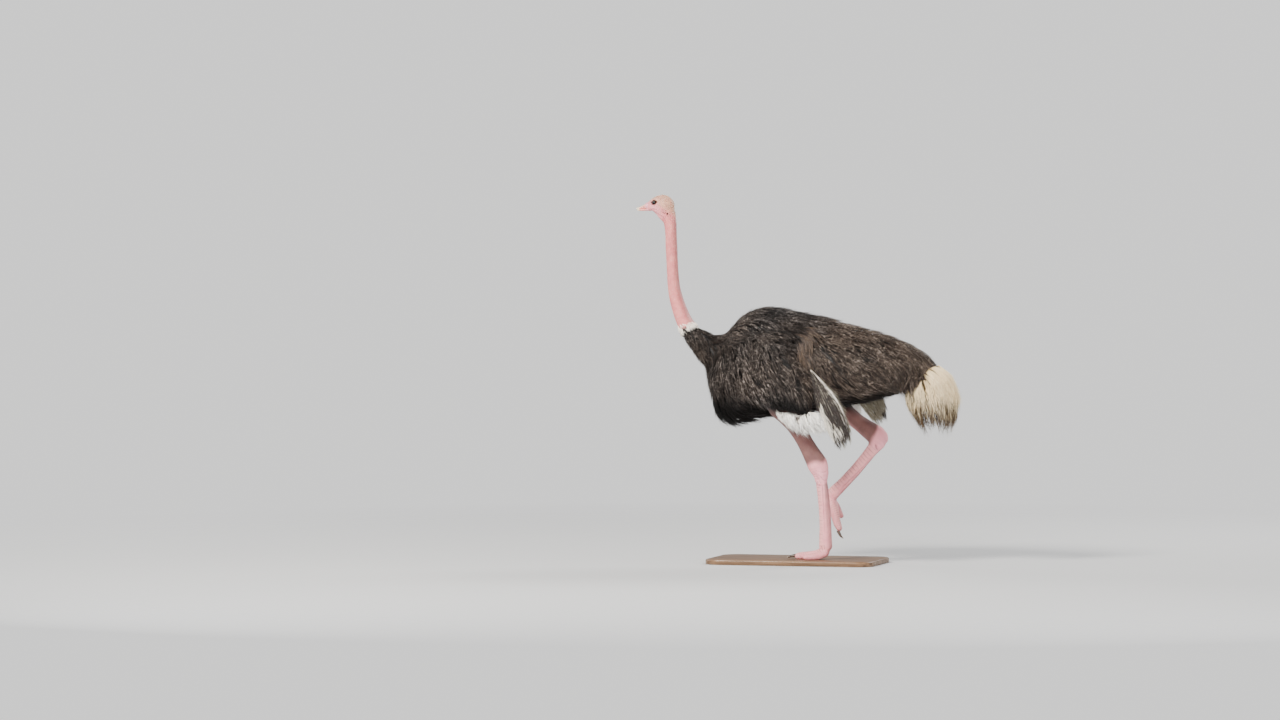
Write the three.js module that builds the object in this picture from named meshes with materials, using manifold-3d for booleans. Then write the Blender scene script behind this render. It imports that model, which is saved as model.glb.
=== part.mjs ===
// A life-size male ostrich, striding: the left foot carries the bird and the right foot swings past it.
// Millimetres, +Z up. The bill points along -X and the bird's left side faces -Y.
// The origin is the middle of the underside of the stand, a flat base.
import * as THREE from "three";
import { mergeVertices } from "three/addons/utils/BufferGeometryUtils.js";
import Module from "manifold-3d";

const wasm = await Module();
wasm.setup();

// ---- Driving dimensions ----

const GAP = 0.4; // clear width of every parting cut
const SKIN_CLEARANCE = 0.5; // a piece stands this far off the piece that it was cut to fit

const BASE_LENGTH = 1000;
const BASE_WIDTH = 560;
const BASE_THICKNESS = 30;
const BASE_CORNER = 90;
const BASE_BEVEL = 5;

const FOOT_LEVEL = BASE_THICKNESS + GAP; // the sole of the standing foot

const SHANK_LENGTH = 515; // knee to hock
const TARSUS_LENGTH = 470; // hock to toe joint

const EYE_RADIUS = 20;
const EYE_PLACE = { x: -849, y: 28, z: 2093 };

const SHOULDER = { x: -310, z: 1275 }; // the point that both wings turn about
const RIGHT_WING_LIFT = THREE.MathUtils.degToRad(10); // the right wing is carried that much higher

// ---- Making closed skins ----

const Y = new THREE.Vector3(0, 1, 0);

// A station is [x, y, z, side, rise, drop]: a centre, the half-width, and the half-heights above and below.
// "Above" is along tangent x (+Y): up on a trunk that runs back, rearward on a leg that runs down.
function skinCurves(stations) {
  const centres = stations.map(([x, y, z]) => new THREE.Vector3(x, y, z));
  const sizes = stations.map(([, , , side, rise, drop = rise]) => new THREE.Vector3(side, rise, drop));
  return {
    centre: new THREE.CatmullRomCurve3(centres, false, "centripetal"),
    size: new THREE.CatmullRomCurve3(sizes, false, "catmullrom", 0.5),
  };
}

// How far a rounded end has opened, a share from 0 to 1, at a share u of its own length.
function roundness(u) {
  return Math.sqrt(Math.max(0, 1 - (1 - Math.min(1, u)) ** 2));
}

// Ring shares along a limb: evenly spaced, and closer together in the rounded ends.
function ringShares(from, to, rings, roundFrom, roundTo) {
  const shares = [];
  if (roundFrom > 0) shares.push(from + roundFrom * 0.03, from + roundFrom * 0.2, from + roundFrom * 0.5);
  const first = from + roundFrom;
  const last = to - roundTo;
  for (let i = 0; i < rings; i++) shares.push(first + ((last - first) * i) / (rings - 1));
  if (roundTo > 0) shares.push(to - roundTo * 0.5, to - roundTo * 0.2, to - roundTo * 0.03);
  return shares;
}

// A closed skin round a curved centre line, from one share of the line to another, with flat or rounded ends.
function limb(stations, options = {}) {
  const { from = 0, to = 1, rings = 8, around = 16 } = options;
  const { roundFrom = 0, roundTo = 0, swell = 0 } = options;
  const { centre, size } = skinCurves(stations);
  const points = [];
  const faces = [];
  const shares = ringShares(from, to, rings, roundFrom, roundTo);
  for (const t of shares) {
    const middle = centre.getPoint(t);
    const tangent = centre.getTangent(t);
    const side = Y.clone().addScaledVector(tangent, -Y.dot(tangent)).normalize();
    const above = tangent.clone().cross(side);
    let opened = 1;
    if (roundFrom > 0) opened = Math.min(opened, roundness((t - from) / roundFrom));
    if (roundTo > 0) opened = Math.min(opened, roundness((to - t) / roundTo));
    const half = size.getPoint(t).multiplyScalar(opened).addScalar(swell);
    for (let j = 0; j < around; j++) {
      const angle = (2 * Math.PI * j) / around;
      const up = Math.sin(angle);
      points.push(
        middle
          .clone()
          .addScaledVector(side, half.x * Math.cos(angle))
          .addScaledVector(above, (up > 0 ? half.y : half.z) * up),
      );
    }
  }
  const start = points.push(centre.getPoint(shares[0])) - 1;
  const end = points.push(centre.getPoint(shares.at(-1))) - 1;
  for (let j = 0; j < around; j++) {
    const k = (j + 1) % around;
    faces.push(start, k, j);
    faces.push(end, start - around + j, start - around + k);
    for (let i = 0; i + 1 < shares.length; i++) {
      const a = i * around;
      faces.push(a + j, a + k, a + around + j);
      faces.push(a + k, a + around + k, a + around + j);
    }
  }
  return new THREE.BufferGeometry().setFromPoints(points).setIndex(faces);
}

// ---- Joining and cutting ----

function solid(geometry) {
  const bare = geometry.clone();
  bare.deleteAttribute("normal");
  bare.deleteAttribute("uv");
  const merged = mergeVertices(bare, 1e-3);
  return new wasm.Manifold(
    new wasm.Mesh({
      numProp: 3,
      vertProperties: merged.attributes.position.array,
      triVerts: new Uint32Array(merged.index.array),
    }),
  );
}

function largest(shape) {
  const bodies = shape.decompose();
  return bodies.reduce((best, body) => (body.volume() > best.volume() ? body : best));
}

function geometryOf(shape) {
  const mesh = shape.getMesh();
  return new THREE.BufferGeometry()
    .setAttribute("position", new THREE.BufferAttribute(mesh.vertProperties, 3))
    .setIndex(new THREE.BufferAttribute(mesh.triVerts, 1))
    .toNonIndexed();
}

// All the space above a level (way 1) or below it (way -1).
function levelSpace(level, way) {
  const span = 4000;
  return solid(new THREE.BoxGeometry(span, span, span).translate(0, 0, level + (way * span) / 2));
}

// The first shape less all the others, without the slivers that the cuts leave behind.
function fitted(shape, ...neighbours) {
  return largest(neighbours.reduce((rest, neighbour) => rest.subtract(neighbour), shape));
}

const bird = new THREE.Group();

const FINISHES = {
  barePink: { color: 0xd89aa0, roughness: 0.7 },
  legPink: { color: 0xd08d97, roughness: 0.6 },
  crown: { color: 0xc9bba4, roughness: 0.95 },
  bill: { color: 0xdcb4a4, roughness: 0.45 },
  eye: { color: 0x1b0f0b, roughness: 0.05 },
  blackPlume: { color: 0x2b2522, roughness: 0.95 },
  whitePlume: { color: 0xe4dccb, roughness: 0.95 },
  tailPlume: { color: 0xcdbb9c, roughness: 0.95 },
  claw: { color: 0x4a3f3a, roughness: 0.4 },
  base: { color: 0x8c7a64, roughness: 0.6 },
};

function add(name, shape, finish) {
  const material = new THREE.MeshStandardMaterial({ ...FINISHES[finish], metalness: 0 });
  const mesh = new THREE.Mesh(geometryOf(shape), material);
  mesh.name = name;
  bird.add(mesh);
}

// ---- Trunk: breast, back and rump, out to the tips of the black plumage ----

const TRUNK = [
  [-520, 0, 1080, 92, 70, 128],
  [-490, 0, 1085, 150, 107, 213],
  [-450, 0, 1085, 196, 165, 255],
  [-400, 0, 1085, 228, 260, 275],
  [-330, 0, 1085, 250, 345, 281],
  [-250, 0, 1085, 262, 392, 262],
  [-150, 0, 1085, 270, 407, 242],
  [-20, 0, 1085, 274, 378, 234],
  [135, 0, 1088, 272, 350, 215],
  [286, 0, 1095, 262, 310, 190],
  [436, 0, 1108, 240, 254, 170],
  [557, 0, 1122, 205, 214, 146],
  [665, 0, 1136, 158, 152, 74],
  [750, 0, 1148, 105, 89, 40],
  [812, 0, 1156, 60, 42, 30],
];

function trunkSolid(swell = 0) {
  return solid(limb(TRUNK, { rings: 16, around: 20, roundFrom: 0.03, roundTo: 0.04, swell }));
}

const trunk = trunkSolid();
const roundTrunk = trunkSolid(SKIN_CLEARANCE);
add("trunk", trunk, "blackPlume");

// ---- Neck, from the throat down to the breast ----

const NECK = [
  [-764, 0, 1998, 34, 35, 44],
  [-762, 0, 1952, 33, 34, 36],
  [-759, 0, 1880, 32, 33, 34],
  [-756, 0, 1790, 32, 34, 34],
  [-749, 0, 1675, 34, 33, 34],
  [-740, 0, 1588, 37, 35, 37],
  [-725, 0, 1524, 41, 38, 41],
  [-704, 0, 1466, 46, 40, 46],
  [-677, 0, 1408, 52, 40, 51],
  [-641, 0, 1347, 62, 46, 61],
  [-581, 0, 1283, 84, 62, 67],
  [-509, 0, 1233, 124, 96, 98],
  [-430, 0, 1198, 160, 150, 150],
];
const THROAT_LEVEL = 1984; // the head and the neck part on this level plane
const NECK_CUTS = { upper: 0.27, middle: 0.51, ring: 0.757 }; // shares of the stations
const CUT_SHARE = 0.0004; // half the width of a parting cut, as a share of the stations

function neckLength(from, to) {
  return solid(limb(NECK, { from: from + CUT_SHARE, to: to - CUT_SHARE, rings: 6, around: 18 }));
}

const belowThroat = levelSpace(THROAT_LEVEL - GAP / 2, -1);
add("neck_upper", neckLength(0, NECK_CUTS.upper).intersect(belowThroat), "barePink");
add("neck_middle", neckLength(NECK_CUTS.upper, NECK_CUTS.middle), "barePink");
add("neck_lower", neckLength(NECK_CUTS.middle, NECK_CUTS.ring), "barePink");

const neckBase = solid(limb(NECK, { from: NECK_CUTS.ring + CUT_SHARE, to: 1, rings: 6, around: 20 }));
add("neck_base", fitted(neckBase, roundTrunk), "blackPlume");

// ---- Head, eyes and bill ----

const SKULL = [
  [-891, 0, 2071, 23, 29, 24],
  [-870, 0, 2076, 34, 38, 38],
  [-846, 0, 2080, 41, 48, 66],
  [-817, 0, 2083, 46, 57, 80],
  [-788, 0, 2079, 46, 52, 84],
  [-766, 0, 2068, 38, 35, 72],
  [-750, 0, 2058, 24, 20, 40],
];
const THROAT = [
  [-776, 0, 2064, 38, 30, 70],
  [-770, 0, 2024, 38, 35, 74],
  [-766, 0, 1996, 35, 34, 52],
  [-764, 0, 1966, 33, 34, 37],
];
const FACE_X = -891; // the bill meets the face on this cross plane
const FACE_ROOM = 400; // a cube of this size takes in all the head on one side of that plane
const BILL_UPPER = [
  [-969, 0, 2057, 6, 4, 3],
  [-957, 0, 2059, 12, 6, 5],
  [-940, 0, 2063, 16, 9, 7],
  [-918, 0, 2067, 19, 14, 10],
  [-892, 0, 2075, 23, 26, 16],
];
const BILL_LOWER = [
  [-964, 0, 2051, 6, 2.5, 4],
  [-948, 0, 2050.5, 12, 4, 5],
  [-918, 0, 2051.5, 17, 4, 5],
  [-892, 0, 2052, 22, 4, 7],
];

function eyeSolid(side, swell = 0) {
  const ball = new THREE.SphereGeometry(EYE_RADIUS + swell, 12, 8);
  ball.translate(EYE_PLACE.x, side * EYE_PLACE.y, EYE_PLACE.z);
  return solid(ball);
}

const eyeSockets = [-1, 1].map((side) => eyeSolid(side, SKIN_CLEARANCE));
const skull = solid(limb(SKULL, { rings: 8, around: 14, roundTo: 0.1 }));
const throat = solid(limb(THROAT, { rings: 4, around: 12 }));
const roundHead = skull.add(throat).intersect(levelSpace(THROAT_LEVEL + GAP / 2, 1));
const wholeFace = new THREE.BoxGeometry(FACE_ROOM, FACE_ROOM, FACE_ROOM);
const behindBill = solid(wholeFace.clone().translate(FACE_X + FACE_ROOM / 2, 0, EYE_PLACE.z));
add("head", fitted(roundHead.intersect(behindBill), ...eyeSockets), "crown");
for (const [name, side] of [["eye_left", -1], ["eye_right", 1]]) add(name, eyeSolid(side), "eye");

function billSolid(stations, swell = 0) {
  return solid(limb(stations, { rings: 6, around: 12, roundFrom: 0.08, swell }));
}

const beforeFace = solid(wholeFace.clone().translate(FACE_X - GAP - FACE_ROOM / 2, 0, EYE_PLACE.z));
const upperBill = billSolid(BILL_UPPER).intersect(beforeFace);
add("bill_upper", upperBill, "bill");
add("bill_lower", fitted(billSolid(BILL_LOWER), billSolid(BILL_UPPER, SKIN_CLEARANCE)), "bill");

// ---- Tail: a drooping bunch of pale plumes ----

const TAIL = [
  [690, 0, 1165, 70, 44, 60],
  [768, 0, 1136, 112, 62, 96],
  [828, 0, 1066, 132, 86, 200],
  [836, 0, 970, 136, 128, 204],
  [812, 0, 880, 124, 126, 166],
  [792, 0, 815, 90, 84, 72],
  [786, 0, 784, 40, 34, 34],
];
const tail = solid(limb(TAIL, { rings: 7, around: 14, roundFrom: 0.05, roundTo: 0.05 }));
add("tail", fitted(tail, roundTrunk), "tailPlume");

// ---- Legs ----

// Half-sizes at shares of the way down a bone: [share, side, back, front].
const SHANK_SIZES = [
  [-0.05, 78, 100, 96],
  [0.2, 84, 96, 92],
  [0.38, 68, 76, 56],
  [0.54, 50, 56, 42],
  [0.7, 42, 50, 42],
  [0.86, 45, 60, 50],
  [0.97, 48, 64, 56],
  [1.09, 36, 40, 44],
];
const TARSUS_SIZES = [
  [-0.05, 34, 40, 34],
  [0.04, 42, 50, 42],
  [0.12, 36, 42, 36],
  [0.22, 28, 34, 34],
  [0.45, 24, 33, 36],
  [0.72, 26, 31, 38],
  [0.92, 33, 34, 42],
  [1.02, 34, 36, 40],
];
const TARSUS_BOW = 14; // how far the middle of the tarsus stands behind the line of its joints

// Stations along the bone from one joint to the next; bow pushes the middle back from the straight line.
function bone(start, end, sizes, bow = 0) {
  const line = end.clone().sub(start);
  const back = line.clone().cross(Y).normalize();
  return sizes.map(([share, ...half]) => {
    const at = start.clone().addScaledVector(line, share);
    at.addScaledVector(back, bow * Math.sin(Math.PI * THREE.MathUtils.clamp(share, 0, 1)));
    return [...at.toArray(), ...half];
  });
}

// The end of a bone of the given length that starts at a joint and points at an aim.
function reach(joint, aim, length) {
  return joint.clone().add(aim.clone().sub(joint).setLength(length));
}

const LEGS = {
  left: {
    knee: new THREE.Vector3(-88, -182, 1006),
    hockAim: new THREE.Vector3(159, -132, 560),
    toeAim: new THREE.Vector3(196, -102, 95),
  },
  right: {
    knee: new THREE.Vector3(34, 180, 1014),
    hockAim: new THREE.Vector3(450, 142, 727),
    toeAim: new THREE.Vector3(152, 104, 363),
  },
};

// Toe stations are [forward, outward, height, side, top, sole], from the toe joint to the tip.
const STANDING_TOES = {
  inner: [
    [-14, 0, 60, 30, 24, 34],
    [8, 0, 50, 36, 34, 26],
    [40, -2, 30, 34, 32, 30],
    [85, -5, 22, 30, 25, 26],
    [130, -8, 20, 29, 22, 24],
    [165, -10, 17, 26, 19, 22],
    [190, -11, 14, 18, 12, 16],
  ],
  outer: [
    [-6, 14, 44, 22, 20, 24],
    [24, 34, 26, 22, 22, 26],
    [58, 56, 18, 20, 18, 22],
    [92, 76, 16, 19, 16, 20],
    [118, 90, 13, 14, 10, 15],
  ],
  claw: [
    [180, -11, 20, 13, 9, 12],
    [204, -12, 18, 12, 8, 10],
    [226, -13, 12, 8, 5, 6],
    [238, -13, 6, 3, 2, 2],
  ],
};
const STANDING_TOE_JOINT_HEIGHT = 65;

// How the swinging foot hangs: the toes turn down from the standing position and curl.
const HANGING_TURN = THREE.MathUtils.degToRad(86);
const HANGING_CURL = THREE.MathUtils.degToRad(14);

function standingToe(stations, joint, side) {
  return stations.map(([forward, outward, height, ...half]) => [
    joint.x - forward,
    joint.y + side * outward,
    BASE_THICKNESS + height,
    ...half,
  ]);
}

function hangingToe(stations, joint, side) {
  const last = stations.at(-1)[0];
  return stations.map(([forward, outward, height, ...half]) => {
    const turn = HANGING_TURN + HANGING_CURL * (forward / last);
    const drop = height - STANDING_TOE_JOINT_HEIGHT;
    const c = Math.cos(turn);
    const s = Math.sin(turn);
    const x = joint.x - forward * c - drop * s;
    const z = joint.z - forward * s + drop * c;
    return [x, joint.y + side * outward, z, ...half];
  });
}

const overFoot = levelSpace(FOOT_LEVEL, 1);

function leg(label, side, { knee, hockAim, toeAim }, toeAt, onGround) {
  const hock = reach(knee, hockAim, SHANK_LENGTH);
  const toeJoint = reach(hock, toeAim, TARSUS_LENGTH);
  const shankBone = bone(knee, hock, SHANK_SIZES);
  const tarsusBone = bone(hock, toeJoint, TARSUS_SIZES, TARSUS_BOW);
  const shank = (swell = 0) =>
    solid(limb(shankBone, { rings: 10, around: 12, roundFrom: 0.05, roundTo: 0.07, swell }));
  const tarsus = (swell = 0) =>
    solid(limb(tarsusBone, { rings: 9, around: 12, roundFrom: 0.06, roundTo: 0.07, swell }));
  add(`leg_${label}_shank`, fitted(shank(), roundTrunk), "legPink");
  add(`leg_${label}_tarsus`, fitted(tarsus(), shank(SKIN_CLEARANCE)), "legPink");

  const cut = (shape) => (onGround ? shape.intersect(overFoot) : shape);
  const toe = (stations, rings, around, swell = 0) => {
    const placed = toeAt(stations, toeJoint, side);
    return cut(solid(limb(placed, { rings, around, roundFrom: 0.08, roundTo: 0.08, swell })));
  };
  const inner = (swell) => toe(STANDING_TOES.inner, 6, 9, swell);
  add(`leg_${label}_toe_inner`, fitted(inner(), tarsus(SKIN_CLEARANCE)), "legPink");
  const outer = fitted(toe(STANDING_TOES.outer, 4, 9), tarsus(SKIN_CLEARANCE), inner(SKIN_CLEARANCE));
  add(`leg_${label}_toe_outer`, outer, "legPink");
  add(`leg_${label}_claw`, fitted(toe(STANDING_TOES.claw, 3, 7), inner(SKIN_CLEARANCE)), "claw");
  return shank(SKIN_CLEARANCE);
}

// Each call gives back the room that the upper leg takes.
const leftLegRoom = leg("left", -1, LEGS.left, standingToe, true);
const rightLegRoom = leg("right", 1, LEGS.right, hangingToe, false);

// ---- Wings: black coverts over the flank, white secondaries under them, and drooping primaries ----

// Stations of the left wing, in the position it hangs in. Thickness is the half-width across the bird.
const COVERTS = [
  [-335, -170, 1285, 38, 60, 60],
  [-262, -212, 1205, 74, 158, 126],
  [-140, -248, 1112, 90, 238, 194],
  [-20, -268, 1020, 80, 196, 128],
  [76, -282, 945, 56, 118, 84],
  [130, -288, 892, 24, 36, 36],
];
const SECONDARIES = [
  [-96, -252, 958, 12, 20, 24],
  [-36, -268, 922, 20, 46, 44],
  [36, -283, 884, 25, 58, 62],
  [110, -294, 854, 26, 60, 66],
  [178, -300, 842, 22, 54, 60],
  [230, -302, 836, 10, 28, 34],
];
const PRIMARIES = [
  [130, -280, 1150, 22, 40, 40],
  [205, -290, 1030, 30, 58, 62],
  [262, -298, 920, 30, 64, 66],
  [305, -302, 830, 26, 62, 64],
  [330, -303, 760, 20, 46, 50],
  [336, -302, 700, 8, 16, 18],
];

function turned(stations, lift, side) {
  const c = Math.cos(lift);
  const s = Math.sin(lift);
  return stations.map(([x, y, z, ...half]) => {
    const dx = x - SHOULDER.x;
    const dz = z - SHOULDER.z;
    return [SHOULDER.x + dx * c - dz * s, side * -y, SHOULDER.z + dx * s + dz * c, ...half];
  });
}

// The wing drapes over the trunk and the upper leg, so it is cut to fit them.
function wing(label, side, lift, legRoom) {
  const shape = (stations, rings, around, swell = 0) =>
    solid(limb(turned(stations, lift, side), { rings, around, roundFrom: 0.07, roundTo: 0.07, swell }));
  const coverts = (swell) => shape(COVERTS, 7, 14, swell);
  const primaries = (swell) => shape(PRIMARIES, 6, 10, swell);
  const pieces = {
    coverts: fitted(coverts(), roundTrunk, legRoom),
    primaries: fitted(primaries(), coverts(SKIN_CLEARANCE), roundTrunk, legRoom),
    secondaries: fitted(
      shape(SECONDARIES, 6, 12),
      coverts(SKIN_CLEARANCE),
      primaries(SKIN_CLEARANCE),
      roundTrunk,
      legRoom,
    ),
  };
  add(`wing_${label}_coverts`, pieces.coverts, "blackPlume");
  add(`wing_${label}_primaries`, pieces.primaries, "whitePlume");
  add(`wing_${label}_secondaries`, pieces.secondaries, "whitePlume");
}

wing("left", -1, 0, leftLegRoom);
wing("right", 1, RIGHT_WING_LIFT, rightLegRoom);

// ---- Stand: a flat base with round corners and a small bevel ----

function baseOutline() {
  const [l, w, r] = [BASE_LENGTH / 2 - BASE_BEVEL, BASE_WIDTH / 2 - BASE_BEVEL, BASE_CORNER];
  const outline = new THREE.Shape();
  outline.absarc(l - r, w - r, r, 0, Math.PI / 2);
  outline.absarc(r - l, w - r, r, Math.PI / 2, Math.PI);
  outline.absarc(r - l, r - w, r, Math.PI, 1.5 * Math.PI);
  outline.absarc(l - r, r - w, r, 1.5 * Math.PI, 2 * Math.PI);
  return outline;
}

const base = new THREE.ExtrudeGeometry(baseOutline(), {
  depth: BASE_THICKNESS - 2 * BASE_BEVEL,
  bevelThickness: BASE_BEVEL,
  bevelSize: BASE_BEVEL,
  bevelSegments: 1,
  curveSegments: 5,
});
base.translate(0, 0, BASE_BEVEL);
add("stand_base", solid(base), "base");

export default bird;
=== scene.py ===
"""A life-size model of a male ostrich in mid-stride on a wooden base, dressed over its solid frame.

Metres, +Z up. The bill points along -X and the bird's left side faces -Y.
"""

import math

import bmesh
import bpy
import numpy as np
from mathutils import Matrix, Vector
from mathutils.bvhtree import BVHTree


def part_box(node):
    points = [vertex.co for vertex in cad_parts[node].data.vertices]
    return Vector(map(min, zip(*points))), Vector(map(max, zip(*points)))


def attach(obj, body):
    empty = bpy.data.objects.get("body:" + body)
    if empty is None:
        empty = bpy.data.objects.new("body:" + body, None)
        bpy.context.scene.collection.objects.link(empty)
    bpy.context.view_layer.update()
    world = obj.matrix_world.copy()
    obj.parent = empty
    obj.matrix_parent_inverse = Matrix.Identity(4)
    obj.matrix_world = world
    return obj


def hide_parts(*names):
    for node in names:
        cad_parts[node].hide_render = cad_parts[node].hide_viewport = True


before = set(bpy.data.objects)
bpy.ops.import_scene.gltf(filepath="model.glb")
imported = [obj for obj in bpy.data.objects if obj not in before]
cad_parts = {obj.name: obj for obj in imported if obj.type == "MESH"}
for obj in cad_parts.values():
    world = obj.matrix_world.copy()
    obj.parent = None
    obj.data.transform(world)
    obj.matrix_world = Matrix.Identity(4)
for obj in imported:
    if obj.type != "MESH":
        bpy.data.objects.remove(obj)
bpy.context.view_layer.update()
BODY = "root"


# ---- Base ----
# A flat board of walnut strips, glued edge to edge, sanded and oiled. Its top edge is rounded over
# and its corners are cut to a wide arc. The standing foot is fixed to the middle of it.

BOARD_CORNER = 0.090
BOARD_ROUND = 0.009
BOARD_BEVEL = 0.002
BOARD_STRIPS = 5
STRIP_SHIFT = 3.7
WALNUT_TONES = "#4a3424", "#8a6a4c"
GLUE_LINE = "#1d130c"


def tint(code):
    """The linear colour of a hex code such as #8a6a4c."""
    parts = [int(code[i : i + 2], 16) / 255 for i in (1, 3, 5)]
    return (*[c / 12.92 if c <= 0.04045 else ((c + 0.055) / 1.055) ** 2.4 for c in parts], 1)


def feed(tree, value, socket):
    """A socket set to a value, or joined to another socket."""
    if isinstance(value, bpy.types.NodeSocket):
        tree.links.new(value, socket)
    else:
        socket.default_value = value


def put(tree, kind, sockets=None, **settings):
    """A shader node of a kind, with its sockets set to values or joined to other sockets."""
    made = tree.nodes.new("ShaderNode" + kind)
    for name, value in settings.items():
        setattr(made, name, value)
    for name, value in (sockets or {}).items():
        feed(tree, value, made.inputs[name])
    return made


def blended(tree, share, first, second, blend_type="MIX"):
    """The socket of a colour that goes from the first to the second by a share."""
    sockets = {0: share, 6: first, 7: second}
    return put(tree, "Mix", sockets, data_type="RGBA", blend_type=blend_type).outputs[2]


def sums(tree, operation, *values):
    """The socket of a sum or other calculation on up to three values."""
    return put(tree, "Math", dict(enumerate(values)), operation=operation).outputs[0]


def ranged(tree, value, low, high):
    """The socket of a share from 0 to 1 as a value goes from low to high."""
    return put(tree, "MapRange", {0: value, 1: low, 2: high}, clamp=True).outputs[0]


def new_finish(name, **shader_values):
    """A material, its node tree and its shader, with the shader's plain values set."""
    made = bpy.data.materials.new(name)
    made.use_nodes = True
    shader = made.node_tree.nodes["Principled BSDF"]
    for socket, value in shader_values.items():
        shader.inputs[socket.replace("_", " ")].default_value = value
    return made, made.node_tree, shader


def new_group(name, inputs, outputs):
    """An empty shader group with sockets given as {name: kind}, and its two end nodes."""
    group = bpy.data.node_groups.new(name, "ShaderNodeTree")
    for label, kind in inputs.items():
        group.interface.new_socket(label, in_out="INPUT", socket_type="NodeSocket" + kind)
    for label, kind in outputs.items():
        group.interface.new_socket(label, in_out="OUTPUT", socket_type="NodeSocket" + kind)
    return group, group.nodes.new("NodeGroupInput"), group.nodes.new("NodeGroupOutput")


def placed(tree, group, sockets):
    """A group put into a tree, with its sockets set."""
    return put(tree, "Group", sockets, node_tree=group)


def joined(tree, value, shader, socket):
    """The shader's socket joined to another socket."""
    tree.links.new(value, shader.inputs[socket])


def bumped(tree, shader, height, distance):
    """The shader's surface raised by a height, which counts for a distance."""
    bump = put(tree, "Bump", {"Height": height, "Distance": distance})
    joined(tree, bump.outputs[0], shader, "Normal")


# Uneven colour, as in wood, horn and skin: a soft noise between two colours, with its height.
mottle, taken, given = new_group(
    "mottle",
    {"Vector": "Vector", "Scale": "Float", "Roughness": "Float", "Dark": "Color", "Pale": "Color"},
    {"Colour": "Color", "Height": "Float"},
)
sockets = {name: taken.outputs[name] for name in ("Vector", "Scale", "Roughness")}
cloud = put(mottle, "TexNoise", {**sockets, "Detail": 6}).outputs[0]
share = ranged(mottle, cloud, 0.3, 0.7)
colour = blended(mottle, share, taken.outputs["Dark"], taken.outputs["Pale"])
feed(mottle, colour, given.inputs["Colour"])
feed(mottle, cloud, given.inputs["Height"])


def mottled(tree, vector, scale, roughness, dark, pale):
    """The uneven colour put into a material, between two hex colours."""
    sockets = {"Vector": vector, "Scale": scale, "Roughness": roughness}
    return placed(tree, mottle, {**sockets, "Dark": tint(dark), "Pale": tint(pale)})


def mesh_from(name, places, faces):
    """A smooth mesh from arrays of places and of triangles or quads."""
    sides = faces.shape[1]
    mesh = bpy.data.meshes.new(name)
    mesh.vertices.add(len(places))
    mesh.vertices.foreach_set("co", np.asarray(places, np.float32).ravel())
    mesh.loops.add(faces.size)
    mesh.loops.foreach_set("vertex_index", np.asarray(faces, np.int32).ravel())
    mesh.polygons.add(len(faces))
    mesh.polygons.foreach_set("loop_start", np.arange(0, faces.size, sides, dtype=np.int32))
    mesh.update(calc_edges=True)
    mesh.shade_smooth()
    return mesh


def show(name, mesh, finish, slot, *stands_for):
    """A piece of the bird: the mesh in its finish, riding on the body in place of frame nodes."""
    piece = bpy.data.objects.new(name, mesh)
    bpy.context.scene.collection.objects.link(piece)
    mesh.materials.clear()
    mesh.materials.append(finish)
    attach(piece, BODY)
    if stands_for:
        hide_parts(*stands_for)
    return piece


def board_mesh():
    """The board: one outline repeated up its edge, drawn in along a quarter round at the top."""
    low, high = (np.array(corner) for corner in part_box("stand_base"))
    half = (high - low)[:2] / 2
    middle = (high + low)[:2] / 2
    corners = []
    for quarter in range(4):
        turn = np.linspace(0, math.pi / 2, 16) + quarter * math.pi / 2
        sign = np.sign([math.cos(turn[8]), math.sin(turn[8])])
        arc = np.stack([np.cos(turn), np.sin(turn)], 1)
        corners.append(middle + sign * (half - BOARD_CORNER) + BOARD_CORNER * arc)
    outline = np.concatenate(corners)
    edge = [(BOARD_BEVEL, low[2]), (0, low[2] + BOARD_BEVEL)]
    for turn in np.linspace(0, math.pi / 2, 7):
        drawn = BOARD_ROUND * (1 - math.cos(turn))
        edge.append((drawn, high[2] - BOARD_ROUND * (1 - math.sin(turn))))
    rings = []
    for drawn, level in edge:
        share = 1 - drawn / half
        ring = middle + (outline - middle) * share
        rings.append(np.column_stack([ring, np.full(len(ring), level)]))
    count = len(outline)
    places = np.concatenate(rings + [[[*middle, low[2]]], [[*middle, high[2]]]])
    faces = []
    for j in range(count):
        k = (j + 1) % count
        faces.append([count * len(rings), k, j])
        top = count * (len(rings) - 1)
        faces.append([count * len(rings) + 1, top + j, top + k])
        for i in range(len(rings) - 1):
            a, b = i * count + j, i * count + k
            faces.append([a, b, b + count])
            faces.append([a, b + count, a + count])
    return mesh_from("base_board", places, np.array(faces))


def walnut():
    """Strips of walnut, each with a grain and tone of its own, and a thin glue line between them."""
    low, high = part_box("stand_base")
    finish, tree, shader = new_finish("oiled_walnut", Roughness=0.42)
    coords = put(tree, "TexCoord").outputs["Object"]
    across = put(tree, "SeparateXYZ", {0: coords}).outputs["Y"]
    across = sums(tree, "MULTIPLY", across, BOARD_STRIPS / (high.y - low.y))
    strip = sums(tree, "FLOOR", across)
    seam = ranged(tree, sums(tree, "PINGPONG", across, 0.5), 0.0, 0.006)
    shifted = put(tree, "CombineXYZ", {0: sums(tree, "MULTIPLY", strip, STRIP_SHIFT), 2: strip})
    stretched = put(tree, "Mapping", {0: coords, 3: (1.2, 16, 16)})
    moved = put(tree, "VectorMath", {0: stretched.outputs[0], 1: shifted.outputs[0]}, operation="ADD")
    grain = mottled(tree, moved.outputs[0], 3.0, 0.62, *WALNUT_TONES)
    tone = put(tree, "TexWhiteNoise", {"W": strip}, noise_dimensions="1D").outputs["Value"]
    tone = sums(tree, "MULTIPLY", tone, 0.45)
    toned = blended(tree, tone, grain.outputs["Colour"], tint(WALNUT_TONES[0]))
    joined(tree, blended(tree, seam, tint(GLUE_LINE), toned), shader, "Base Color")
    joined(tree, ranged(tree, grain.outputs["Height"], 1.0, -0.2), shader, "Roughness")
    bumped(tree, shader, sums(tree, "MULTIPLY", grain.outputs["Height"], seam), 0.0006)
    return finish


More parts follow.
